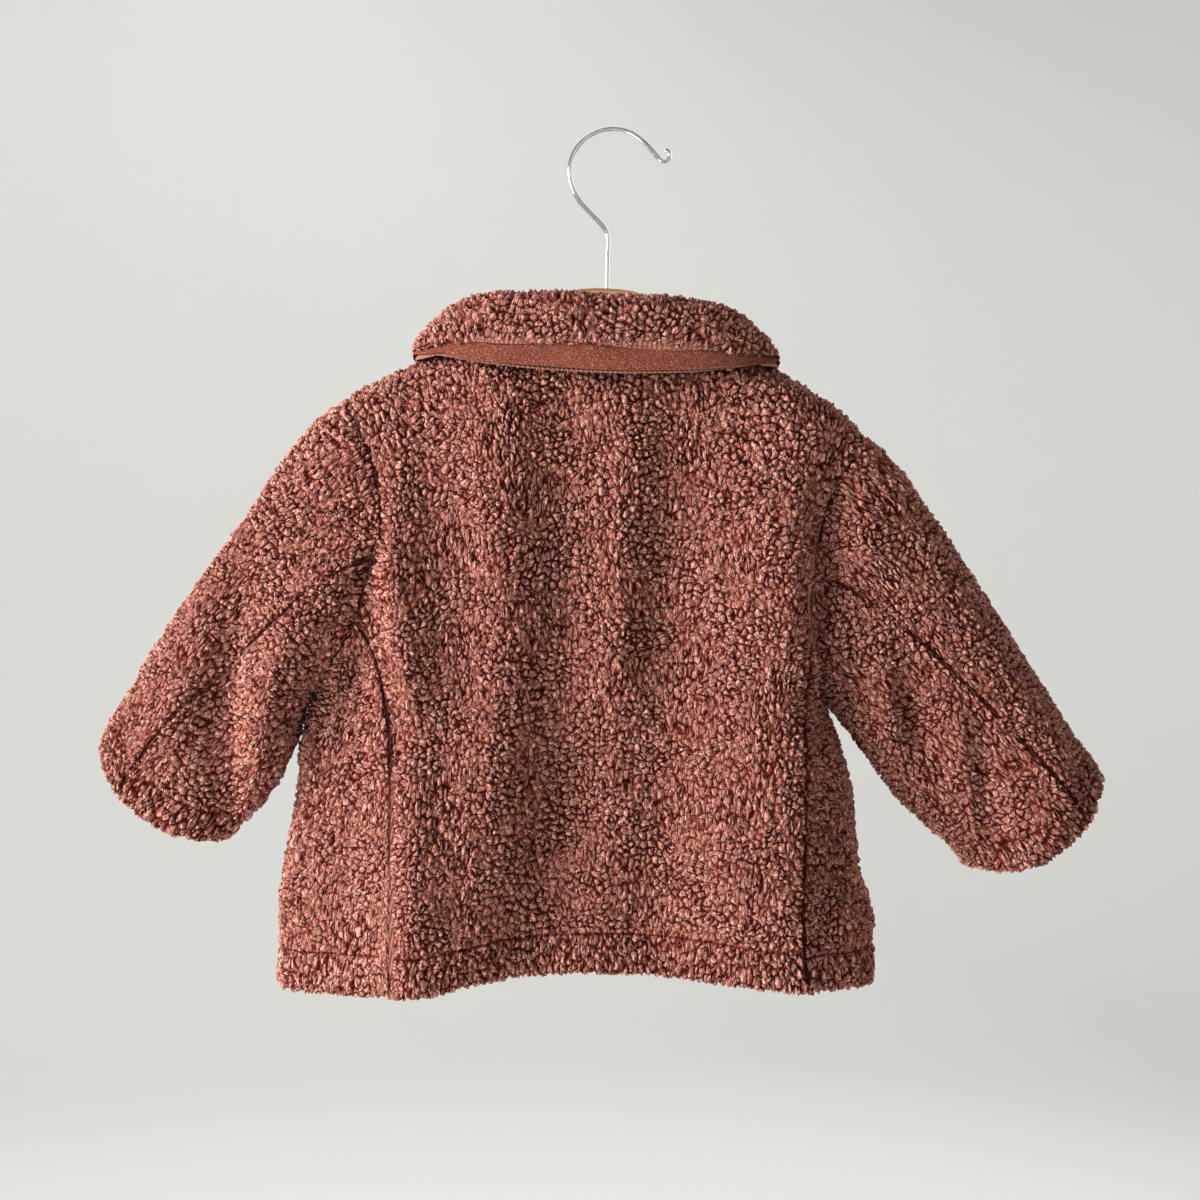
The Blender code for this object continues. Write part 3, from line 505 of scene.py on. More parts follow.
def closed_over(name, places):
    """How far the curls close over a seam at each place, in patches."""
    most = CLOSED["sleeve" if name.startswith("sleeve") else "other"]
    patches = np.array([mathutils.noise.noise(place / CLOSED_PATCH) for place in places])
    return most * np.clip(CLOSED_SHARE + CLOSED_CONTRAST * patches, 0, 1)


# %% Room beside the seams
WALL = 6 * MM  # the pile's mesh ends this deep under its face, on the wall's inner side
AT_EDGE = 8 * MM  # a point this near the mesh's end is measured from the next panel itself
SEAM_GAP = 0.9 * MM  # between two panels' rounded corners
NO_SEAM = 1.0  # a metre, for a panel without seams
NEAR_SEAM = 5 * MM
PILE_LEVELS = 3


def seam_room(name, mesh):
    """How far each point is from the panel's seams, along the cloth."""
    shape = bmesh.new()
    shape.from_mesh(mesh)
    sewn_to = solid_tree(neighbours(name))
    seam = [vert.co.copy() for vert in shape.verts
            if vert.is_boundary and sewn_to.find_nearest(vert.co)[3] < SEWN]
    shape.free()
    if not seam:
        return np.full(len(mesh.vertices), NO_SEAM)
    tree = KDTree(len(seam))
    for number, place in enumerate(seam):
        tree.insert(place, number)
    tree.balance()
    room = np.array([tree.find(vertex.co)[2] for vertex in mesh.vertices])
    beside = np.flatnonzero(room < AT_EDGE)
    room = np.sqrt(np.maximum(room ** 2 - WALL ** 2, 0))
    for number in beside:
        room[number] = max(sewn_to.find_nearest(mesh.vertices[number].co)[3] - SEAM_GAP, 0)
    return room + closed_over(name, [vertex.co for vertex in mesh.vertices])


def store(mesh, name, values):
    attribute = mesh.attributes.new(name, "FLOAT", "POINT")
    attribute.data.foreach_set("value", np.asarray(values, np.float32))


for name, piece in piles.items():
    refine(piece, PILE_LEVELS)
    room = seam_room(name, piece.data)
    store(piece.data, "room", room)
    near = (room < NEAR_SEAM).mean()
    print(f"{name}: {len(piece.data.polygons)} faces, {near:.0%} of its points near a seam")

# %% Hem and cuff distances
HEM_RISE = 24 * MM  # from the edge up to its stitching
CUFF_RISE = 21 * MM
STRIP = 6 * MM  # the edge is looked for in strips this wide
NO_EDGE = 9.0  # rises from the edge, where it is far off


def from_edge(aside, far):
    """How far each point is from the furthest point of its strip."""
    strips = np.round(aside / STRIP).astype(int)
    furthest = {strip: far[strips == strip].max() for strip in np.unique(strips)}
    return np.array([furthest[strip] for strip in strips]) - far


for name, piece in piles.items():
    points = np.array([vertex.co for vertex in piece.data.vertices])
    core = PANEL_CORES.get(name)
    rises = np.full(len(points), NO_EDGE)
    if core == "body":
        rises = from_edge(points[:, 0], -points[:, 2]) / HEM_RISE
    elif core:
        far, aside = beside_core(points, CORES[core])[:2]
        rises = from_edge(aside, far) / CUFF_RISE
    store(piece.data, "turned", np.clip(rises, 0, NO_EDGE))
    print(name, "turned edge points:", int((rises < 1).sum()))

# %% [markdown]
# ## Folds
#
# Thick fleece hangs in soft ridges and troughs. Each fold is a line of stations down the cloth, listed with
# its own width on either side and its own height, so that no two are alike. Both layers move with it. A crest
# that is wide on one side and narrow on the other looks pulled over, as real folds do.

# %% Folds of the back
FOLDS = {
    # stations of (x, z, half width towards the left, towards the right, height), in mm
    "back left swell": ((-128, -180, 10, 34, 0), (-127, -225, 12, 40, 2.5), (-120, -300, 14, 42, 3),
                        (-114, -370, 14, 56, 7), (-114, -430, 12, 60, 7.5), (-116, -490, 10, 54, 5.5),
                        (-116, -512, 10, 46, 4)),
    "back beside left armhole": ((-130, -200, 10, 16, 0), (-128, -240, 9, 22, 6), (-123, -280, 10, 24, 9),
                                 (-117, -325, 11, 23, 9), (-112, -350, 12, 18, 4.5), (-112, -368, 12, 14, 0)),
    "back low left fall": ((-118, -345, 8, 24, 0), (-119, -385, 8, 27, 5), (-119, -440, 8, 30, 6.5),
                           (-118, -485, 8, 28, 5.5), (-118, -512, 8, 26, 4)),
    "back left ridge": ((-66, -180, 12, 16, 0), (-63, -222, 16, 17, 2.2), (-62, -290, 16, 18, 2.4),
                        (-66, -335, 14, 17, 1.5), (-75, -365, 12, 14, 0)),
    "back middle ridge": ((21, -166, 12, 14, 1), (16, -200, 13, 14, 2.5), (8, -260, 14, 14, 3),
                          (0, -320, 13, 14, 2.2), (-2, -350, 12, 12, 0)),
    "back middle hollow": ((30, -165, 28, 46, -1), (28, -230, 30, 50, -3), (20, -300, 30, 54, -3),
                           (12, -350, 30, 54, 0)),
    "back low hollow": ((-6, -325, 40, 34, 0), (-8, -380, 50, 44, -5.5), (-10, -430, 56, 48, -6),
                        (-26, -480, 54, 50, -5), (-36, -512, 48, 50, -3.5)),
    "back right crest": ((101, -178, 30, 14, 0), (104, -235, 40, 12, 4), (106, -300, 46, 11, 6.5),
                         (106, -370, 48, 12, 7), (105, -430, 46, 12, 6.5), (108, -490, 38, 12, 4),
                         (108, -512, 30, 12, 3)),
    "back low right": ((66, -385, 14, 12, 0), (69, -435, 15, 12, 1.8), (75, -490, 14, 12, 1.2),
                       (77, -510, 12, 12, 0)),
    "right side flare": ((128, -425, 9, 9, 0), (139, -468, 10, 10, 4), (143, -505, 9, 10, 3)),
    "left armhole trough": ((-142, -192, 4, 4, 0), (-137, -218, 4.5, 4.5, -2.5),
                            (-135, -245, 4.5, 4.5, -3.2), (-143, -270, 4.5, 4.5, -3.8),
                            (-149, -290, 4.5, 4.5, -3.5), (-156, -303, 4, 4, 0)),
    "left seam trough": ((-125, -330, 5, 6, 0), (-122, -365, 6, 7, -3), (-122, -430, 6, 8, -3.5),
                         (-120, -508, 6, 8, -2.5)),
    "left seam ridge": ((-139, -296, 7, 6, 0), (-135, -345, 8, 6, 3.5), (-136, -400, 9, 7, 2.5),
                        (-138, -455, 8, 7, 3), (-138, -485, 7, 6, 0)),
    "right armhole trough": ((137, -186, 5, 5, 0), (124, -245, 7, 7, -5), (118, -300, 8, 7, -8),
                             (121, -345, 8, 7, -7), (124, -372, 6, 6, 0)),
    "left sleeve ridge": ((-138, -240, 12, 18, 0), (-152, -258, 13, 22, 6), (-170, -276, 13, 24, 8.5),
                          (-187, -299, 13, 20, 8.5), (-198, -336, 13, 13, 7.5), (-202, -378, 12, 11, 7),
                          (-208, -404, 11, 10, 5), (-212, -422, 10, 9, 2)),
    "left sleeve outer": ((-226, -245, 12, 10, 0), (-247, -300, 14, 12, 3), (-262, -365, 16, 14, 3.5),
                          (-268, -390, 12, 12, 0)),
    "left sleeve trough": ((-212, -262, 9, 8, 0), (-221, -310, 10, 8, -3.5), (-226, -352, 11, 8, -5.5),
                           (-227, -388, 11, 8, -5.5), (-229, -408, 9, 8, -3), (-231, -422, 8, 8, 0)),
    "left armpit pit": ((-170, -325, 5, 5, -5), (-175, -337, 6, 6, -9), (-184, -350, 6, 6, -3)),
    "left armpit dent": ((-146, -314, 4, 5, -2), (-152, -327, 5, 5, -4), (-158, -334, 4, 4, -1)),
    "right sleeve top": ((147, -215, 12, 12, 0), (147, -250, 13, 11, 3.5), (150, -296, 11, 10, 1.5),
                         (152, -315, 9, 9, 0)),
    "right sleeve ridge": ((154, -296, 8, 7, 0), (157, -325, 10, 7, 3), (165, -368, 10, 8, 3),
                           (174, -392, 8, 8, 0)),
    "right sleeve dent": ((168, -318, 5, 6, 0), (172, -338, 6, 6, -3.5), (180, -364, 6, 6, -2.5),
                          (186, -382, 5, 5, 0)),
    "right forearm ridge": ((190, -325, 9, 7, 0), (201, -358, 11, 8, 3), (209, -396, 11, 8, 2.5),
                            (216, -418, 8, 7, 0)),
    "right forearm trough": ((206, -350, 7, 7, 0), (215, -382, 7, 8, -3), (222, -410, 7, 7, -2.5),
                             (228, -428, 6, 6, 0)),
    "right sleeve outer": ((150, -205, 26, 8, 0), (178, -242, 36, 8, 4), (212, -292, 40, 8, 5),
                           (240, -338, 38, 8, 5.5), (262, -372, 34, 9, 8.5), (262, -405, 34, 9, 9),
                           (250, -432, 30, 9, 6)),
}
print("folds of the back:", len(FOLDS))

# %% Folds of the front
FRONT_FOLDS = {
    "front left ridge": ((-92, -205, 15, 13, 0), (-96, -280, 18, 14, 4.5), (-93, -360, 18, 15, 5),
                         (-99, -440, 16, 14, 3.5), (-104, -500, 12, 12, 1)),
    "front left trough": ((-62, -230, 10, 10, 0), (-64, -310, 12, 11, -2.5), (-60, -395, 12, 12, -3),
                          (-63, -470, 10, 10, 0)),
    "front right ridge": ((58, -190, 13, 15, 0), (66, -262, 15, 18, 4), (72, -345, 14, 20, 5),
                          (69, -430, 14, 18, 4), (74, -500, 12, 14, 1.5)),
    "front right side": ((112, -300, 10, 10, 0), (117, -370, 12, 11, -3), (114, -450, 12, 11, -3.5),
                         (118, -500, 9, 9, -1)),
    "left elbow, front": ((-186, -262, 10, 10, 0), (-201, -300, 12, 10, 4), (-219, -345, 12, 11, 4.5),
                          (-236, -385, 10, 10, 0)),
    "left crook, front": ((-178, -300, 6, 7, 0), (-196, -326, 7, 7, -4), (-213, -352, 7, 7, -3),
                          (-221, -366, 6, 6, 0)),
    "right elbow, front": ((168, -262, 11, 10, 0), (186, -305, 12, 11, 4.5), (203, -350, 12, 12, 4),
                           (219, -395, 10, 10, 0)),
    "right crook, front": ((150, -290, 6, 7, 0), (166, -318, 7, 7, -3.5), (181, -352, 7, 7, -3.5),
                           (190, -370, 6, 6, 0)),
}
print("folds of the front:", len(FRONT_FOLDS))

# %% Closing the underarms
CLOSING = {  # here the height goes out of the sleeve or the body
    "left underarm": ((-171, -330, 8, 8, 2), (-176, -352, 8, 8, 3.2), (-181, -372, 8, 8, 2.6),
                      (-184, -384, 7, 7, 0)),
    "right underarm": ((110, -284, 8, 8, 0), (112, -302, 8, 8, 2.5), (115, -325, 8, 8, 3.5),
                       (122, -342, 8, 8, 3), (132, -358, 7, 7, 1.5), (140, -370, 6, 6, 0)),
}
print("closings:", len(CLOSING))

# %% The height of a fold
FOLD_DEPTH = 1.5  # folds are this many times as high as their stations say


def fold_height(flat, stations):
    """Height of one fold, in mm, at places (x, z) in mm."""
    nearest = np.full(len(flat), np.inf)
    height = np.zeros(len(flat))
    for first, last in zip(stations, stations[1:]):
        start, run = np.array(first[:2]), np.array(last[:2]) - np.array(first[:2])
        t = np.clip((flat - start) @ run / (run @ run), 0, 1)
        offset = flat - start - np.outer(t, run)
        distance = np.hypot(offset[:, 0], offset[:, 1])
        left, right, rise = (first[i] + (last[i] - first[i]) * t for i in (2, 3, 4))
        width = np.where(offset @ np.array((-run[1], run[0])) > 0, right, left)
        bell = np.exp(-math.log(2) * (distance / width) ** 2)  # a half at the half width
        height = np.where(distance < nearest, rise * FOLD_DEPTH * bell, height)
        nearest = np.minimum(nearest, distance)
    return height


# %% Pressing the folds
FACING = 0.45  # a fold has its whole height where the cloth faces its side at least this much


def press_folds(name, mesh):
    """Fold the front and the back of a panel, and close the underarm gaps. Gives each point's move."""
    places = np.empty(len(mesh.vertices) * 3)
    mesh.vertices.foreach_get("co", places)
    places = places.reshape(-1, 3)
    before = places.copy()
    out = ways_out(name, places)
    flat = places[:, (0, 2)] / MM
    for folds, side in ((FOLDS, -1), (FRONT_FOLDS, 1)):
        facing = np.clip(out[:, 1] * side / FACING, 0, 1)
        height = sum(fold_height(flat, stations) for stations in folds.values())
        places[:, 1] += side * facing * height * MM
    closing = sum(fold_height(flat, stations) for stations in CLOSING.values())
    places += out * closing[:, None] * MM
    mesh.vertices.foreach_set("co", places.ravel())
    return np.linalg.norm(places - before, axis=1) / MM


for name in PANEL_CORES:
    refine(grounds[name], 1)
    for piece in (piles[name], grounds[name]):
        moved = press_folds(name, piece.data)
    print(f"{name}: folds move it up to {moved.max():.1f} mm")

# %% [markdown]
# ## Teddy curls
#
# The pile is spun into curls a few millimetres across, with dark clefts between them. Cells of a Voronoi
# pattern on the flat panel, bent by noise, give the curls: the distance to the cell's edge makes the cleft,
# the distance to its middle makes the dome, and the creases of a finer noise part the curl into strands. Hair
# would be nearer to the real thing, but only a mesh can be carried to other programs, so the curls are raised
# from the panel itself. The formula is a node group with its sizes counted in curls. It is built for both
# kinds of tree: in geometry nodes it moves the points, and in the materials it adds the detail between them.

# %% Helpers for the formula
def jitter(tree, place, size, amount):
    """Places moved about by noise."""
    swing = vectors(tree, "SUBTRACT", noise(tree, place, size, output="Color"), (0.5, 0.5, 0.5))
    return vectors(tree, "ADD", place, vectors(tree, "SCALE", swing, scale=amount))


def less(tree, share, amount):
    """1 less a share of an amount."""
    return sums(tree, "SUBTRACT", 1.0, times(tree, share, amount))


# %% The curl formula
SWAY_SIZE = 11  # this and the next sizes are counted in curls
SWAY = 2.4
BEND_SIZE = 1
KINK_SIZE = 0.4
DOME_FALL = 1.6  # how steeply a curl falls off from its middle
DOME_SHARE = 0.6  # of a curl's height, the part that its dome makes
LOT_SHARE = 0.3  # curls differ in height by up to this share
CREASE_WIDTH = 0.13
CLEFT_PATCH = 1.3
CLEFT_NOISE = (0.35, 0.65)  # between these the clefts go from narrow to wide
CLEFT_WIDTHS = (0.10, 0.30)


def cells(tree, place, feature):
    """A flat pattern of cells, one to each unit."""
    return add_node(tree, "ShaderNodeTexVoronoi", (("Vector", place), ("Scale", 1)), feature=feature,
                    voronoi_dimensions="2D").outputs


def curls(tree, place, squeeze, bend, kink, strands, wrinkle, depth):
    """Height of the curls and their clefts, both 0 in a cleft and 1 on top; sizes are counted in curls."""
    squeezed = jitter(tree, vectors(tree, "MULTIPLY", place, squeeze), SWAY_SIZE, SWAY)
    place = jitter(tree, jitter(tree, squeezed, BEND_SIZE, bend), KINK_SIZE, kink)
    cell = cells(tree, place, "F1")
    edge = cells(tree, place, "DISTANCE_TO_EDGE")["Distance"]
    lot = add_node(tree, "ShaderNodeSeparateXYZ", [(0, cell["Color"])]).outputs[0]
    dome = less(tree, times(tree, cell["Distance"], cell["Distance"]), DOME_FALL)
    fine = add_node(tree, "ShaderNodeTexNoise",
                    (("Vector", place), ("Scale", strands), ("Detail", 0))).outputs["Fac"]
    middle = sums(tree, "ABSOLUTE", sums(tree, "SUBTRACT", fine, 0.5))
    crease = step(tree, middle, 0.0, CREASE_WIDTH, 1.0, 0.0)
    wide = step(tree, noise(tree, squeezed, CLEFT_PATCH, 0.0), *CLEFT_NOISE, *CLEFT_WIDTHS)
    gap = step(tree, sums(tree, "DIVIDE", edge, wide), 0.0, 1.0, 1.0, 0.0)
    cleft = times(tree, less(tree, gap, depth), less(tree, crease, wrinkle))
    height = times(tree, cleft, sums(tree, "MULTIPLY_ADD", dome, DOME_SHARE, 1 - DOME_SHARE))
    return times(tree, height, sums(tree, "MULTIPLY_ADD", lot, LOT_SHARE, 1 - LOT_SHARE)), cleft


# %% The formula as node groups
CURL_INPUTS = (  # with their values for upright curls
    ("Place", (0, 0, 0)),
    ("Squeeze", (1, 0.87, 1)),  # less than 1 down the cloth lengthens the curls
    ("Bend", 1.0),
    ("Kink", 0.5),
    ("Strands", 2.5),  # strands across a curl
    ("Wrinkle", 0.57),  # how deep the creases between the strands are
    ("Depth", 1.0),  # how deep the clefts between the curls are
)
GROUP_NODES = {"ShaderNodeTree": "ShaderNodeGroup", "GeometryNodeTree": "GeometryNodeGroup"}


def new_group(name, kind, inputs, outputs):
    """An empty node group with its sockets. Gives the group, its inputs and its way out."""
    group = bpy.data.node_groups.new(name, kind)
    for title, value in inputs:
        socket = "NodeSocketVector" if isinstance(value, tuple) else "NodeSocketFloat"
        group.interface.new_socket(title, in_out="INPUT", socket_type=socket).default_value = value
    for title in outputs:
        group.interface.new_socket(title, in_out="OUTPUT", socket_type="NodeSocketFloat")
    return group, group.nodes.new("NodeGroupInput").outputs, group.nodes.new("NodeGroupOutput").inputs


def curl_group(kind):
    group, given, result = new_group("curls", kind, CURL_INPUTS, ("Height", "Cleft"))
    for output, value in zip(("Height", "Cleft"), curls(group, *list(given)[:len(CURL_INPUTS)])):
        group.links.new(value, result[output])
    return group


CURLS = {kind: curl_group(kind) for kind in GROUP_NODES}
print("curl nodes:", len(CURLS["ShaderNodeTree"].nodes))

# %% Upright and brushed curls
CURL = 3.8 * MM
SHORT_CURL = 1.5 * MM
LYING = (("Squeeze", (1.25, 0.52, 1)), ("Bend", 1.2), ("Kink", 0.55), ("Strands", 2.5), ("Wrinkle", 0.62))
BRUSHED_PATCH = 36 * MM
BRUSHED_FROM = (0.47, 0.60)  # the patches' noise turns from upright to brushed between these
BRUSHED_RISE = (0.9, 1.2)  # the brushed band of a hem or cuff ends between these rises


def place_curls(tree, flat, size, *values):
    """The height and the cleft of curls of one size on a flat panel."""
    place = vectors(tree, "SCALE", flat, scale=1 / size)
    node = add_node(tree, GROUP_NODES[tree.bl_idname], node_tree=CURLS[tree.bl_idname])
    tree.links.new(place, node.inputs["Place"])
    for title, value in values:
        node.inputs[title].default_value = value
    return node.outputs["Height"], node.outputs["Cleft"]


def mixed(tree, share, first, second):
    return add_node(tree, "ShaderNodeMix", [("Factor", share), ("A", first), ("B", second)]).outputs["Result"]


def teddy_curls(tree, flat, turned):
    """Round curls and brushed ones, mixed in patches; hems and cuffs are brushed."""
    patches = step(tree, noise(tree, flat, BRUSHED_PATCH, detail=2.0), *BRUSHED_FROM)
    brushed = sums(tree, "MAXIMUM", patches, step(tree, turned, *BRUSHED_RISE, 1.0, 0.0))
    upright = place_curls(tree, flat, CURL)
    lying = place_curls(tree, flat, CURL, *LYING)
    return [mixed(tree, brushed, *pair) for pair in zip(upright, lying)]


def short_curls(tree, flat, turned):
    return place_curls(tree, flat, SHORT_CURL)


# %% Height of the pile
PILE_DEPTH = 3.6 * MM
PILE_LEVEL = 0.62  # curls higher than this stand out of the panel's face
LOOSE = 1.0 * MM  # soft unevenness of the cloth
LOOSE_SIZE = 45 * MM
STITCH_DEPTH = 0.9 * MM
STITCH_SHARPNESS = 30.0  # the groove is about a thirtieth of the rise wide to either side
SHORT_DEPTH = 0.7 * MM


def stitch_line(tree, turned):
    """1 on the stitching of a hem or cuff."""
    across = times(tree, sums(tree, "SUBTRACT", turned, 1.0), STITCH_SHARPNESS)
    return sums(tree, "EXPONENT", times(tree, times(tree, across, across), -1.0))


def teddy_rise(tree, flat, turned):
    height, _ = teddy_curls(tree, flat, turned)
    rise = times(tree, sums(tree, "SUBTRACT", height, PILE_LEVEL), PILE_DEPTH)
    loose = sums(tree, "SUBTRACT", noise(tree, flat, LOOSE_SIZE), 0.5)
    rise = sums(tree, "MULTIPLY_ADD", loose, 2 * LOOSE, rise)
    return sums(tree, "MULTIPLY_ADD", stitch_line(tree, turned), -STITCH_DEPTH, rise)


def short_rise(tree, flat, turned):
    height, _ = short_curls(tree, flat, turned)
    return times(tree, height, SHORT_DEPTH)


# %% Curls that move the points
PRESSED = 0.5  # share of the pile's depth that is left at a seam
PRESSED_WIDTH = 0.8 * MM
PUFF = 1.4 * MM  # beside a seam the pile stands up and closes over it
PUFF_STARTS = (0.0, 1.5 * MM)
PUFF_ENDS = (2 * MM, 7 * MM)


def moving_nodes(name, pile):
    """A geometry node group that moves the points of a mesh by a pile's height."""
    group = bpy.data.node_groups.new(name, "GeometryNodeTree")
    group.interface.new_socket("Geometry", in_out="INPUT", socket_type="NodeSocketGeometry")
    group.interface.new_socket("Geometry", in_out="OUTPUT", socket_type="NodeSocketGeometry")
    entry = group.nodes.new("NodeGroupInput")
    leave = group.nodes.new("NodeGroupOutput")
    named = (("UVMap", "FLOAT_VECTOR"), ("room", "FLOAT"), ("turned", "FLOAT"))
    flat, room, turned = (add_node(group, "GeometryNodeInputNamedAttribute", [("Name", word)],
                                   data_type=kind).outputs[0] for word, kind in named)
    pressed = step(group, room, 0.0, PRESSED_WIDTH, PRESSED, 1.0)
    rise = times(group, pile(group, flat, turned), pressed)
    beside = times(group, step(group, room, *PUFF_STARTS), step(group, room, *PUFF_ENDS, 1.0, 0.0))
    rise = sums(group, "MULTIPLY_ADD", beside, PUFF, rise)
    normal = group.nodes.new("GeometryNodeInputNormal").outputs[0]
    offset = vectors(group, "SCALE", normal, scale=rise)
    moved = add_node(group, "GeometryNodeSetPosition", [("Geometry", entry.outputs[0]), ("Offset", offset)])
    group.links.new(moved.outputs[0], leave.inputs[0])
    return group


teddy_nodes = moving_nodes("teddy pile", teddy_rise)
short_nodes = moving_nodes("short pile", short_rise)
for name, piece in piles.items():
    modifier = piece.modifiers.new("pile", "NODES")
    modifier.node_group = short_nodes if name == "collar_under" else teddy_nodes
print("pile nodes:", len(teddy_nodes.nodes), len(short_nodes.nodes))

# %% [markdown]
# ## Pile finishes
#
# A curl's top catches the light and its cleft is dark, so the colour follows the height: a painted highlight
# on the tops and painted shade in the clefts. Seams and stitching press the pile down, and painted shade
# darkens it there. Fine fibres are left to the bump. Both cloths share this as a node group, and each has its
# own curls, colours and depth.

# %% The shaded pile group: painted shade and highlight, and the cloth's own tone
HEIGHT_GAIN = 1.25
SEAM_SHADE = 0.2  # share of its light that the pile keeps in a seam
SEAM_SHADE_WIDTH = 1.9 * MM
STITCH_SHADE = 0.65  # share that it loses on a stitch line
CLOUD_SIZE = 60 * MM
CLOUD = 0.24  # how much the cloth's shade wanders
FIBRE_SIZE = 0.7 * MM

shaded, given, result = new_group("worn pile", "ShaderNodeTree", (
    ("Flat", (0, 0, 0)), ("Height", 1.0), ("Cleft", 1.0), ("Room", NO_SEAM), ("Turned", NO_EDGE),
    ("Roundness", 0.3),  # how much of the shade follows the domes
    ("Fibres", 0.3)), ("Shade", "Relief"))
# Painted shade: the clefts are dark and the domes carry a painted highlight; seams and stitch lines get
# painted shade
shade = mixed(shaded, given["Roundness"], given["Cleft"], times(shaded, given["Height"], HEIGHT_GAIN))
shade = times(shaded, shade, step(shaded, given["Room"], 0.0, SEAM_SHADE_WIDTH, SEAM_SHADE, 1.0))
shade = times(shaded, shade, less(shaded, stitch_line(shaded, given["Turned"]), STITCH_SHADE))
cloud = noise(shaded, given["Flat"], CLOUD_SIZE, detail=2.0)
shade = times(shaded, shade, sums(shaded, "MULTIPLY_ADD", cloud, CLOUD, 1 - CLOUD / 2))
fibres = noise(shaded, given["Flat"], FIBRE_SIZE, detail=2.0)
shaded.links.new(shade, result["Shade"])
shaded.links.new(sums(shaded, "MULTIPLY_ADD", fibres, given["Fibres"], given["Height"]), result["Relief"])
print("worn pile nodes:", len(shaded.nodes))

# %% Pile materials
TEDDY_RELIEF = 3.1 * MM
SHORT_RELIEF = 0.8 * MM
# Both ramps run from painted shade in a cleft to a painted highlight on a top, around the cloth's own colour
TEDDY_COLOURS = ((0.0, (0.040, 0.003, 0.002)), (0.3, (0.205, 0.047, 0.034)),  # from cleft to top
                 (0.62, (0.45, 0.180, 0.141)), (1.0, (0.59, 0.280, 0.225)))
SHORT_COLOURS = ((0.0, (0.13, 0.028, 0.017)), (0.35, (0.24, 0.070, 0.045)), (1.0, (0.37, 0.135, 0.095)))


def pile_finish(name, pile, relief, stops):
    """A pile material from its curls, the depth of its bump and its colours from cleft to top."""
    made, tree, shader = new_material(name, roughness=0.95, sheen_weight=0.03, sheen_roughness=0.5,
                                      sheen_tint=(0.9, 0.5, 0.4, 1), specular_ior_level=0.0)
    flat = own_flat(tree)
    turned, room = (add_node(tree, "ShaderNodeAttribute", attribute_name=word).outputs["Fac"]
                    for word in ("turned", "room"))
    height, cleft = pile(tree, flat, turned)
    look = add_node(tree, "ShaderNodeGroup", node_tree=shaded)
    inputs = {"Flat": flat, "Height": height, "Cleft": cleft, "Room": room, "Turned": turned}
    for title, value in inputs.items():
        tree.links.new(value, look.inputs[title])
    connect(tree, shader, base_color=colours(tree, look.outputs["Shade"], *stops),
            normal=bump(tree, look.outputs["Relief"], relief))
    return made


teddy = pile_finish("teddy pile", teddy_curls, TEDDY_RELIEF, TEDDY_COLOURS)
short = pile_finish("short pile", short_curls, SHORT_RELIEF, SHORT_COLOURS)
for name, piece in piles.items():
    dress(piece, short if name == "collar_under" else teddy)
print("teddy pile:", len(teddy.node_tree.nodes), "nodes")

# %% [markdown]
# ## Ground and declarations
#
# The ground is the knit that carries the pile, and it shows inside the jacket. It is a thin sheet, cut to the
# panel's flat size, and the pile goes with it. The thickness is a modifier, so the sheet stays one surface.

# %% Jersey
RIB_SIZE = 9 * MM
RIB_DEPTH = 0.3 * MM

jersey, tree, shader = new_material("jersey ground", roughness=0.85, sheen_weight=0.1)
ribs = bands(tree, own_flat(tree), RIB_SIZE, distortion=0.6, detail=1.0, detail_scale=3.0)
connect(tree, shader, base_color=colours(tree, ribs, (0.0, (0.16, 0.045, 0.03)), (1.0, (0.36, 0.125, 0.085))),
        normal=bump(tree, ribs, RIB_DEPTH))
print("jersey:", len(jersey.node_tree.nodes), "nodes")

# %% Ground sheets
GROUND_THICKNESS = 1.2 * MM

for name, piece in grounds.items():
    if name not in PANEL_CORES:
        refine(piece, 1)
    dress(piece, jersey)
    thick = piece.modifiers.new("thickness", "SOLIDIFY")
    thick.thickness = GROUND_THICKNESS
    thick.offset = -1
    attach(piece, "root")
    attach(piles[name], "root")
    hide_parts(name)

# %% [markdown]
# ## Buttons
#
# Four plain buttons close the front. A button is turned from a blank: a disc with a rounded rim, a dished
# middle and four holes for the thread. One profile is spun for the disc, as on a lathe, because that keeps
# the rim even, and four drills are taken away from it.

# %% Horn and thread
SWIRL_SIZE = 30 * MM
WEAR_SIZE = 2 * MM
TWIST_SIZE = 0.3 * MM
TWIST_DEPTH = 0.1 * MM
HORN_COLOURS = ((0.0, (0.045, 0.018, 0.010)), (0.5, (0.12, 0.05, 0.027)), (1.0, (0.23, 0.11, 0.06)))
THREAD_COLOURS = ((0.3, (0.17, 0.05, 0.035)), (0.7, (0.40, 0.15, 0.11)))

horn, tree, shader = new_material("brown horn button", roughness=0.3, coat_weight=0.3, coat_roughness=0.15)
place = own_place(tree)
swirls = bands(tree, place, SWIRL_SIZE, distortion=9.0, detail=3.0, detail_scale=1.5)
connect(tree, shader, base_color=colours(tree, swirls, *HORN_COLOURS),
        roughness=step(tree, noise(tree, place, WEAR_SIZE), *MOST_NOISE, to_low=0.24, to_high=0.38))
thread, tree, shader = new_material("button thread", roughness=0.8)
twist = noise(tree, own_place(tree), TWIST_SIZE, detail=2.0)
connect(tree, shader, base_color=colours(tree, twist, *THREAD_COLOURS), normal=bump(tree, twist, TWIST_DEPTH))
print("horn:", len(horn.node_tree.nodes), "nodes; thread:", len(thread.node_tree.nodes))

# %% The turned disc
BUTTON_PROFILE = ((0, 0), (7.6, 0), (8.7, 0.6), (9.0, 1.6), (9.0, 2.4), (8.6, 3.4), (7.9, 3.9), (7.2, 3.8),
                  (6.5, 3.0), (5.6, 2.5), (0, 2.4))  # (radius, height above the back), in mm
SOFT_RIM = math.radians(35)  # sharper edges than this stay sharp


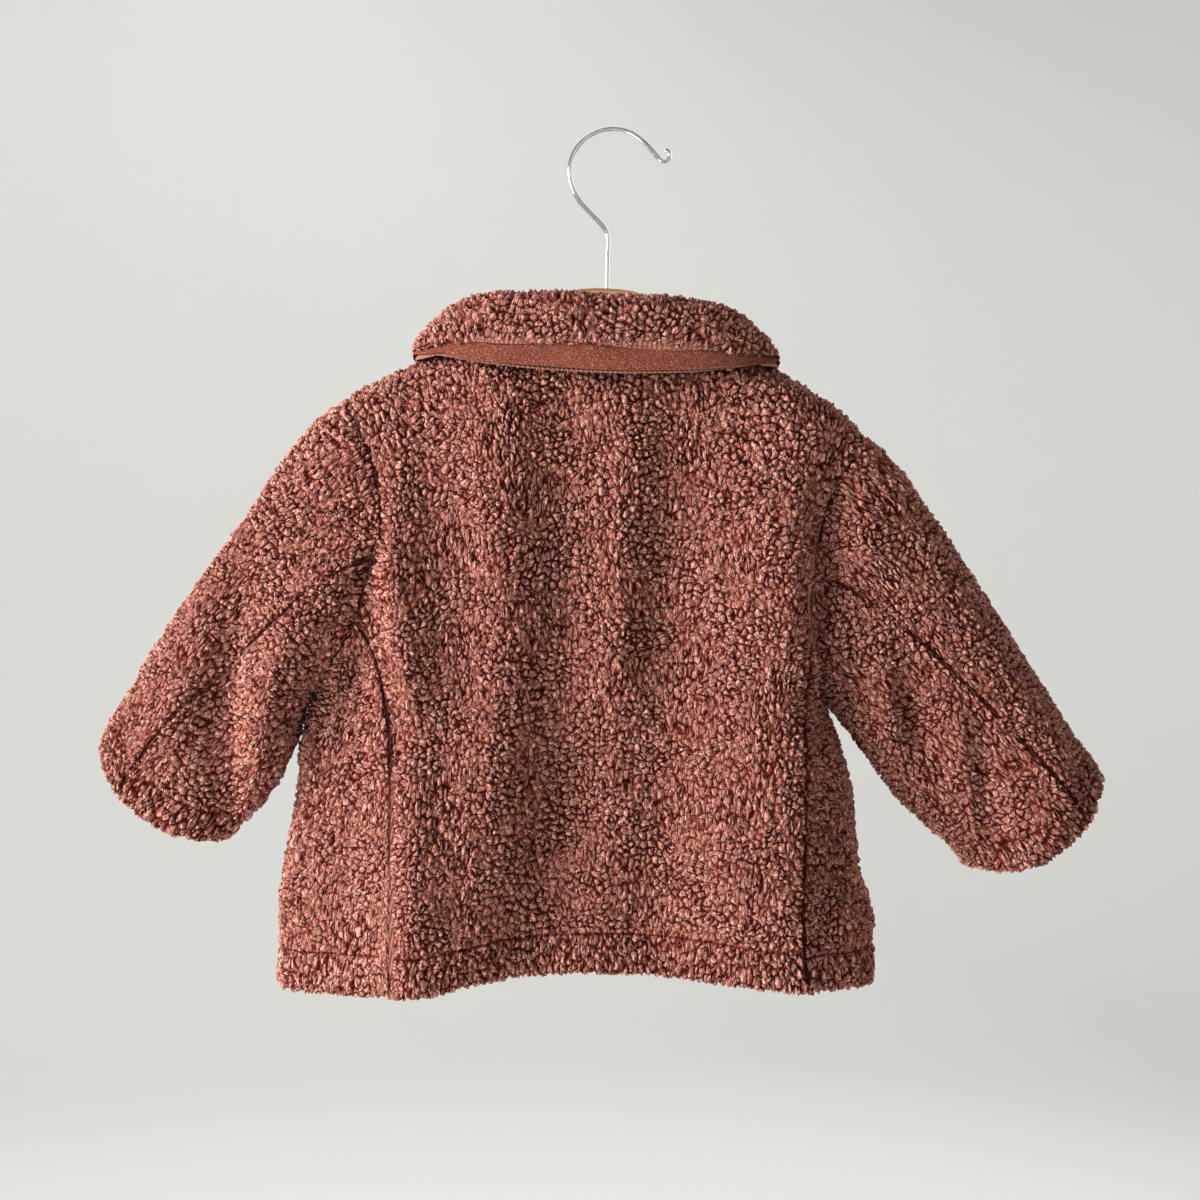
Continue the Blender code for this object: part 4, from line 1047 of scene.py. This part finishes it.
def turned_disc(name, middle, back):
    """A disc spun from the profile, lying with its back at this y."""
    shape = spun([(radius * MM, height * MM) for radius, height in BUTTON_PROFILE])
    bmesh.ops.rotate(shape, verts=shape.verts[:], cent=(0, 0, 0),
                     matrix=Matrix.Rotation(math.radians(-90), 3, "X"))
    bmesh.ops.translate(shape, verts=shape.verts[:], vec=(middle.x, back, middle.z))
    return as_object(name, shape)


# %% Holes and thread
HOLE_RING = 2.0 * MM  # the holes' distance from the middle
HOLE_RADIUS = 0.75 * MM
DRILL_LENGTH = 9 * MM
THREAD_RADIUS = 0.45 * MM
THREAD_LENGTH = 3.3 * MM
THREAD_HEIGHT = 2.65 * MM  # above the button's back


def add_rod(shape, place, axis, radius, length, segments):
    """A round rod, turned about an axis from its upright start."""
    lying = Matrix.Translation(place) @ Matrix.Rotation(math.radians(90), 4, axis)
    bmesh.ops.create_cone(shape, cap_ends=True, segments=segments, radius1=radius, radius2=radius,
                          depth=length, matrix=lying)


def drill_holes(disc, middle):
    """Take four drills away from a disc."""
    drills = bmesh.new()
    for turn in range(45, 405, 90):
        a = math.radians(turn)
        hole = Vector((middle.x + HOLE_RING * math.cos(a), middle.y, middle.z + HOLE_RING * math.sin(a)))
        add_rod(drills, hole, "X", HOLE_RADIUS, DRILL_LENGTH, segments=16)
    drill = as_object("drill", drills)
    cut = disc.modifiers.new("holes", "BOOLEAN")
    cut.object = drill
    cut.solver = "EXACT"
    settle(disc)
    bpy.data.objects.remove(drill)
    disc.data.set_sharp_from_angle(angle=SOFT_RIM)


def stitches(name, middle, back):
    """Two bars of thread, each from one hole to the next."""
    sewing = bmesh.new()
    rise = HOLE_RING * math.sin(math.radians(45))
    for side in (-1, 1):
        bar = Vector((middle.x, back + THREAD_HEIGHT, middle.z + side * rise))
        add_rod(sewing, bar, "Y", THREAD_RADIUS, THREAD_LENGTH, segments=10)
    return as_object(name, sewing)


# %% The four buttons
for number in range(1, 5):
    name = f"button_{number}"
    low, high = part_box(name)
    middle = (Vector(low) + Vector(high)) / 2
    disc = turned_disc(f"{name}_turned", middle, low[1])
    drill_holes(disc, middle)
    dress(disc, horn)
    sewn = stitches(f"{name}_thread", middle, low[1])
    dress(sewn, thread)
    for piece in (disc, sewn):
        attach(piece, "root")
    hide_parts(name)
    print(f"{name}: {len(disc.data.polygons)} faces")

# %% [markdown]
# ## The hanger
#
# The bar is a flat piece of beech, cut to a shoulder's curve, and its grain runs along it. The hook is a
# chromed wire. The frame's wire has flat facets, so a copy is smoothed.

# %% Wood
YEAR_SIZE = 16 * MM
PORE_SIZE = 0.8 * MM
PORE_SHARE = 0.4  # of the grain; the years make the rest
GRAIN_RUN = (0.12, 1.0, 1.0)  # along x the grain is drawn out about eight times
GRAIN_DEPTH = 0.15 * MM
BEECH_COLOURS = ((0.15, (0.22, 0.095, 0.035)), (0.5, (0.42, 0.21, 0.09)), (0.85, (0.55, 0.31, 0.15)))

beech, tree, shader = new_material("waxed beech", roughness=0.45, coat_weight=0.15, coat_roughness=0.3)
along = add_node(tree, "ShaderNodeMapping", (("Vector", own_place(tree)), ("Rotation", (0, 0.05, 0)),
                                             ("Scale", GRAIN_RUN))).outputs["Vector"]
years = bands(tree, along, YEAR_SIZE, distortion=4.0, detail=3.0, detail_scale=1.2, bands_direction="Z")
pores = noise(tree, along, PORE_SIZE, detail=3.0)
grain = sums(tree, "MULTIPLY_ADD", pores, PORE_SHARE, times(tree, years, 1 - PORE_SHARE))
connect(tree, shader, base_color=colours(tree, grain, *BEECH_COLOURS),
        roughness=step(tree, pores, *MOST_NOISE, to_low=0.38, to_high=0.55),
        normal=bump(tree, grain, GRAIN_DEPTH))
dress(frame["nodes"]["hanger_wood"], beech)
print("beech:", len(beech.node_tree.nodes), "nodes")

# %% Wire
RUB_SIZE = 1.5 * MM
CHROME_COLOURS = ((0.35, (0.50, 0.50, 0.51)), (0.65, (0.68, 0.68, 0.69)))

chrome, tree, shader = new_material("chromed wire", base_color=(0.62, 0.62, 0.63, 1), metallic=1.0)
rubbed = noise(tree, own_place(tree), RUB_SIZE, detail=3.0)
connect(tree, shader, base_color=colours(tree, rubbed, *CHROME_COLOURS),
        roughness=step(tree, rubbed, *MOST_NOISE, to_low=0.10, to_high=0.24))
wire = as_object("hanger_wire", merged_copy("hanger_hook"))
refine(wire, 2)
dress(wire, chrome)
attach(wire, "root")
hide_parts("hanger_hook")
print("wire:", len(wire.data.polygons), "faces")
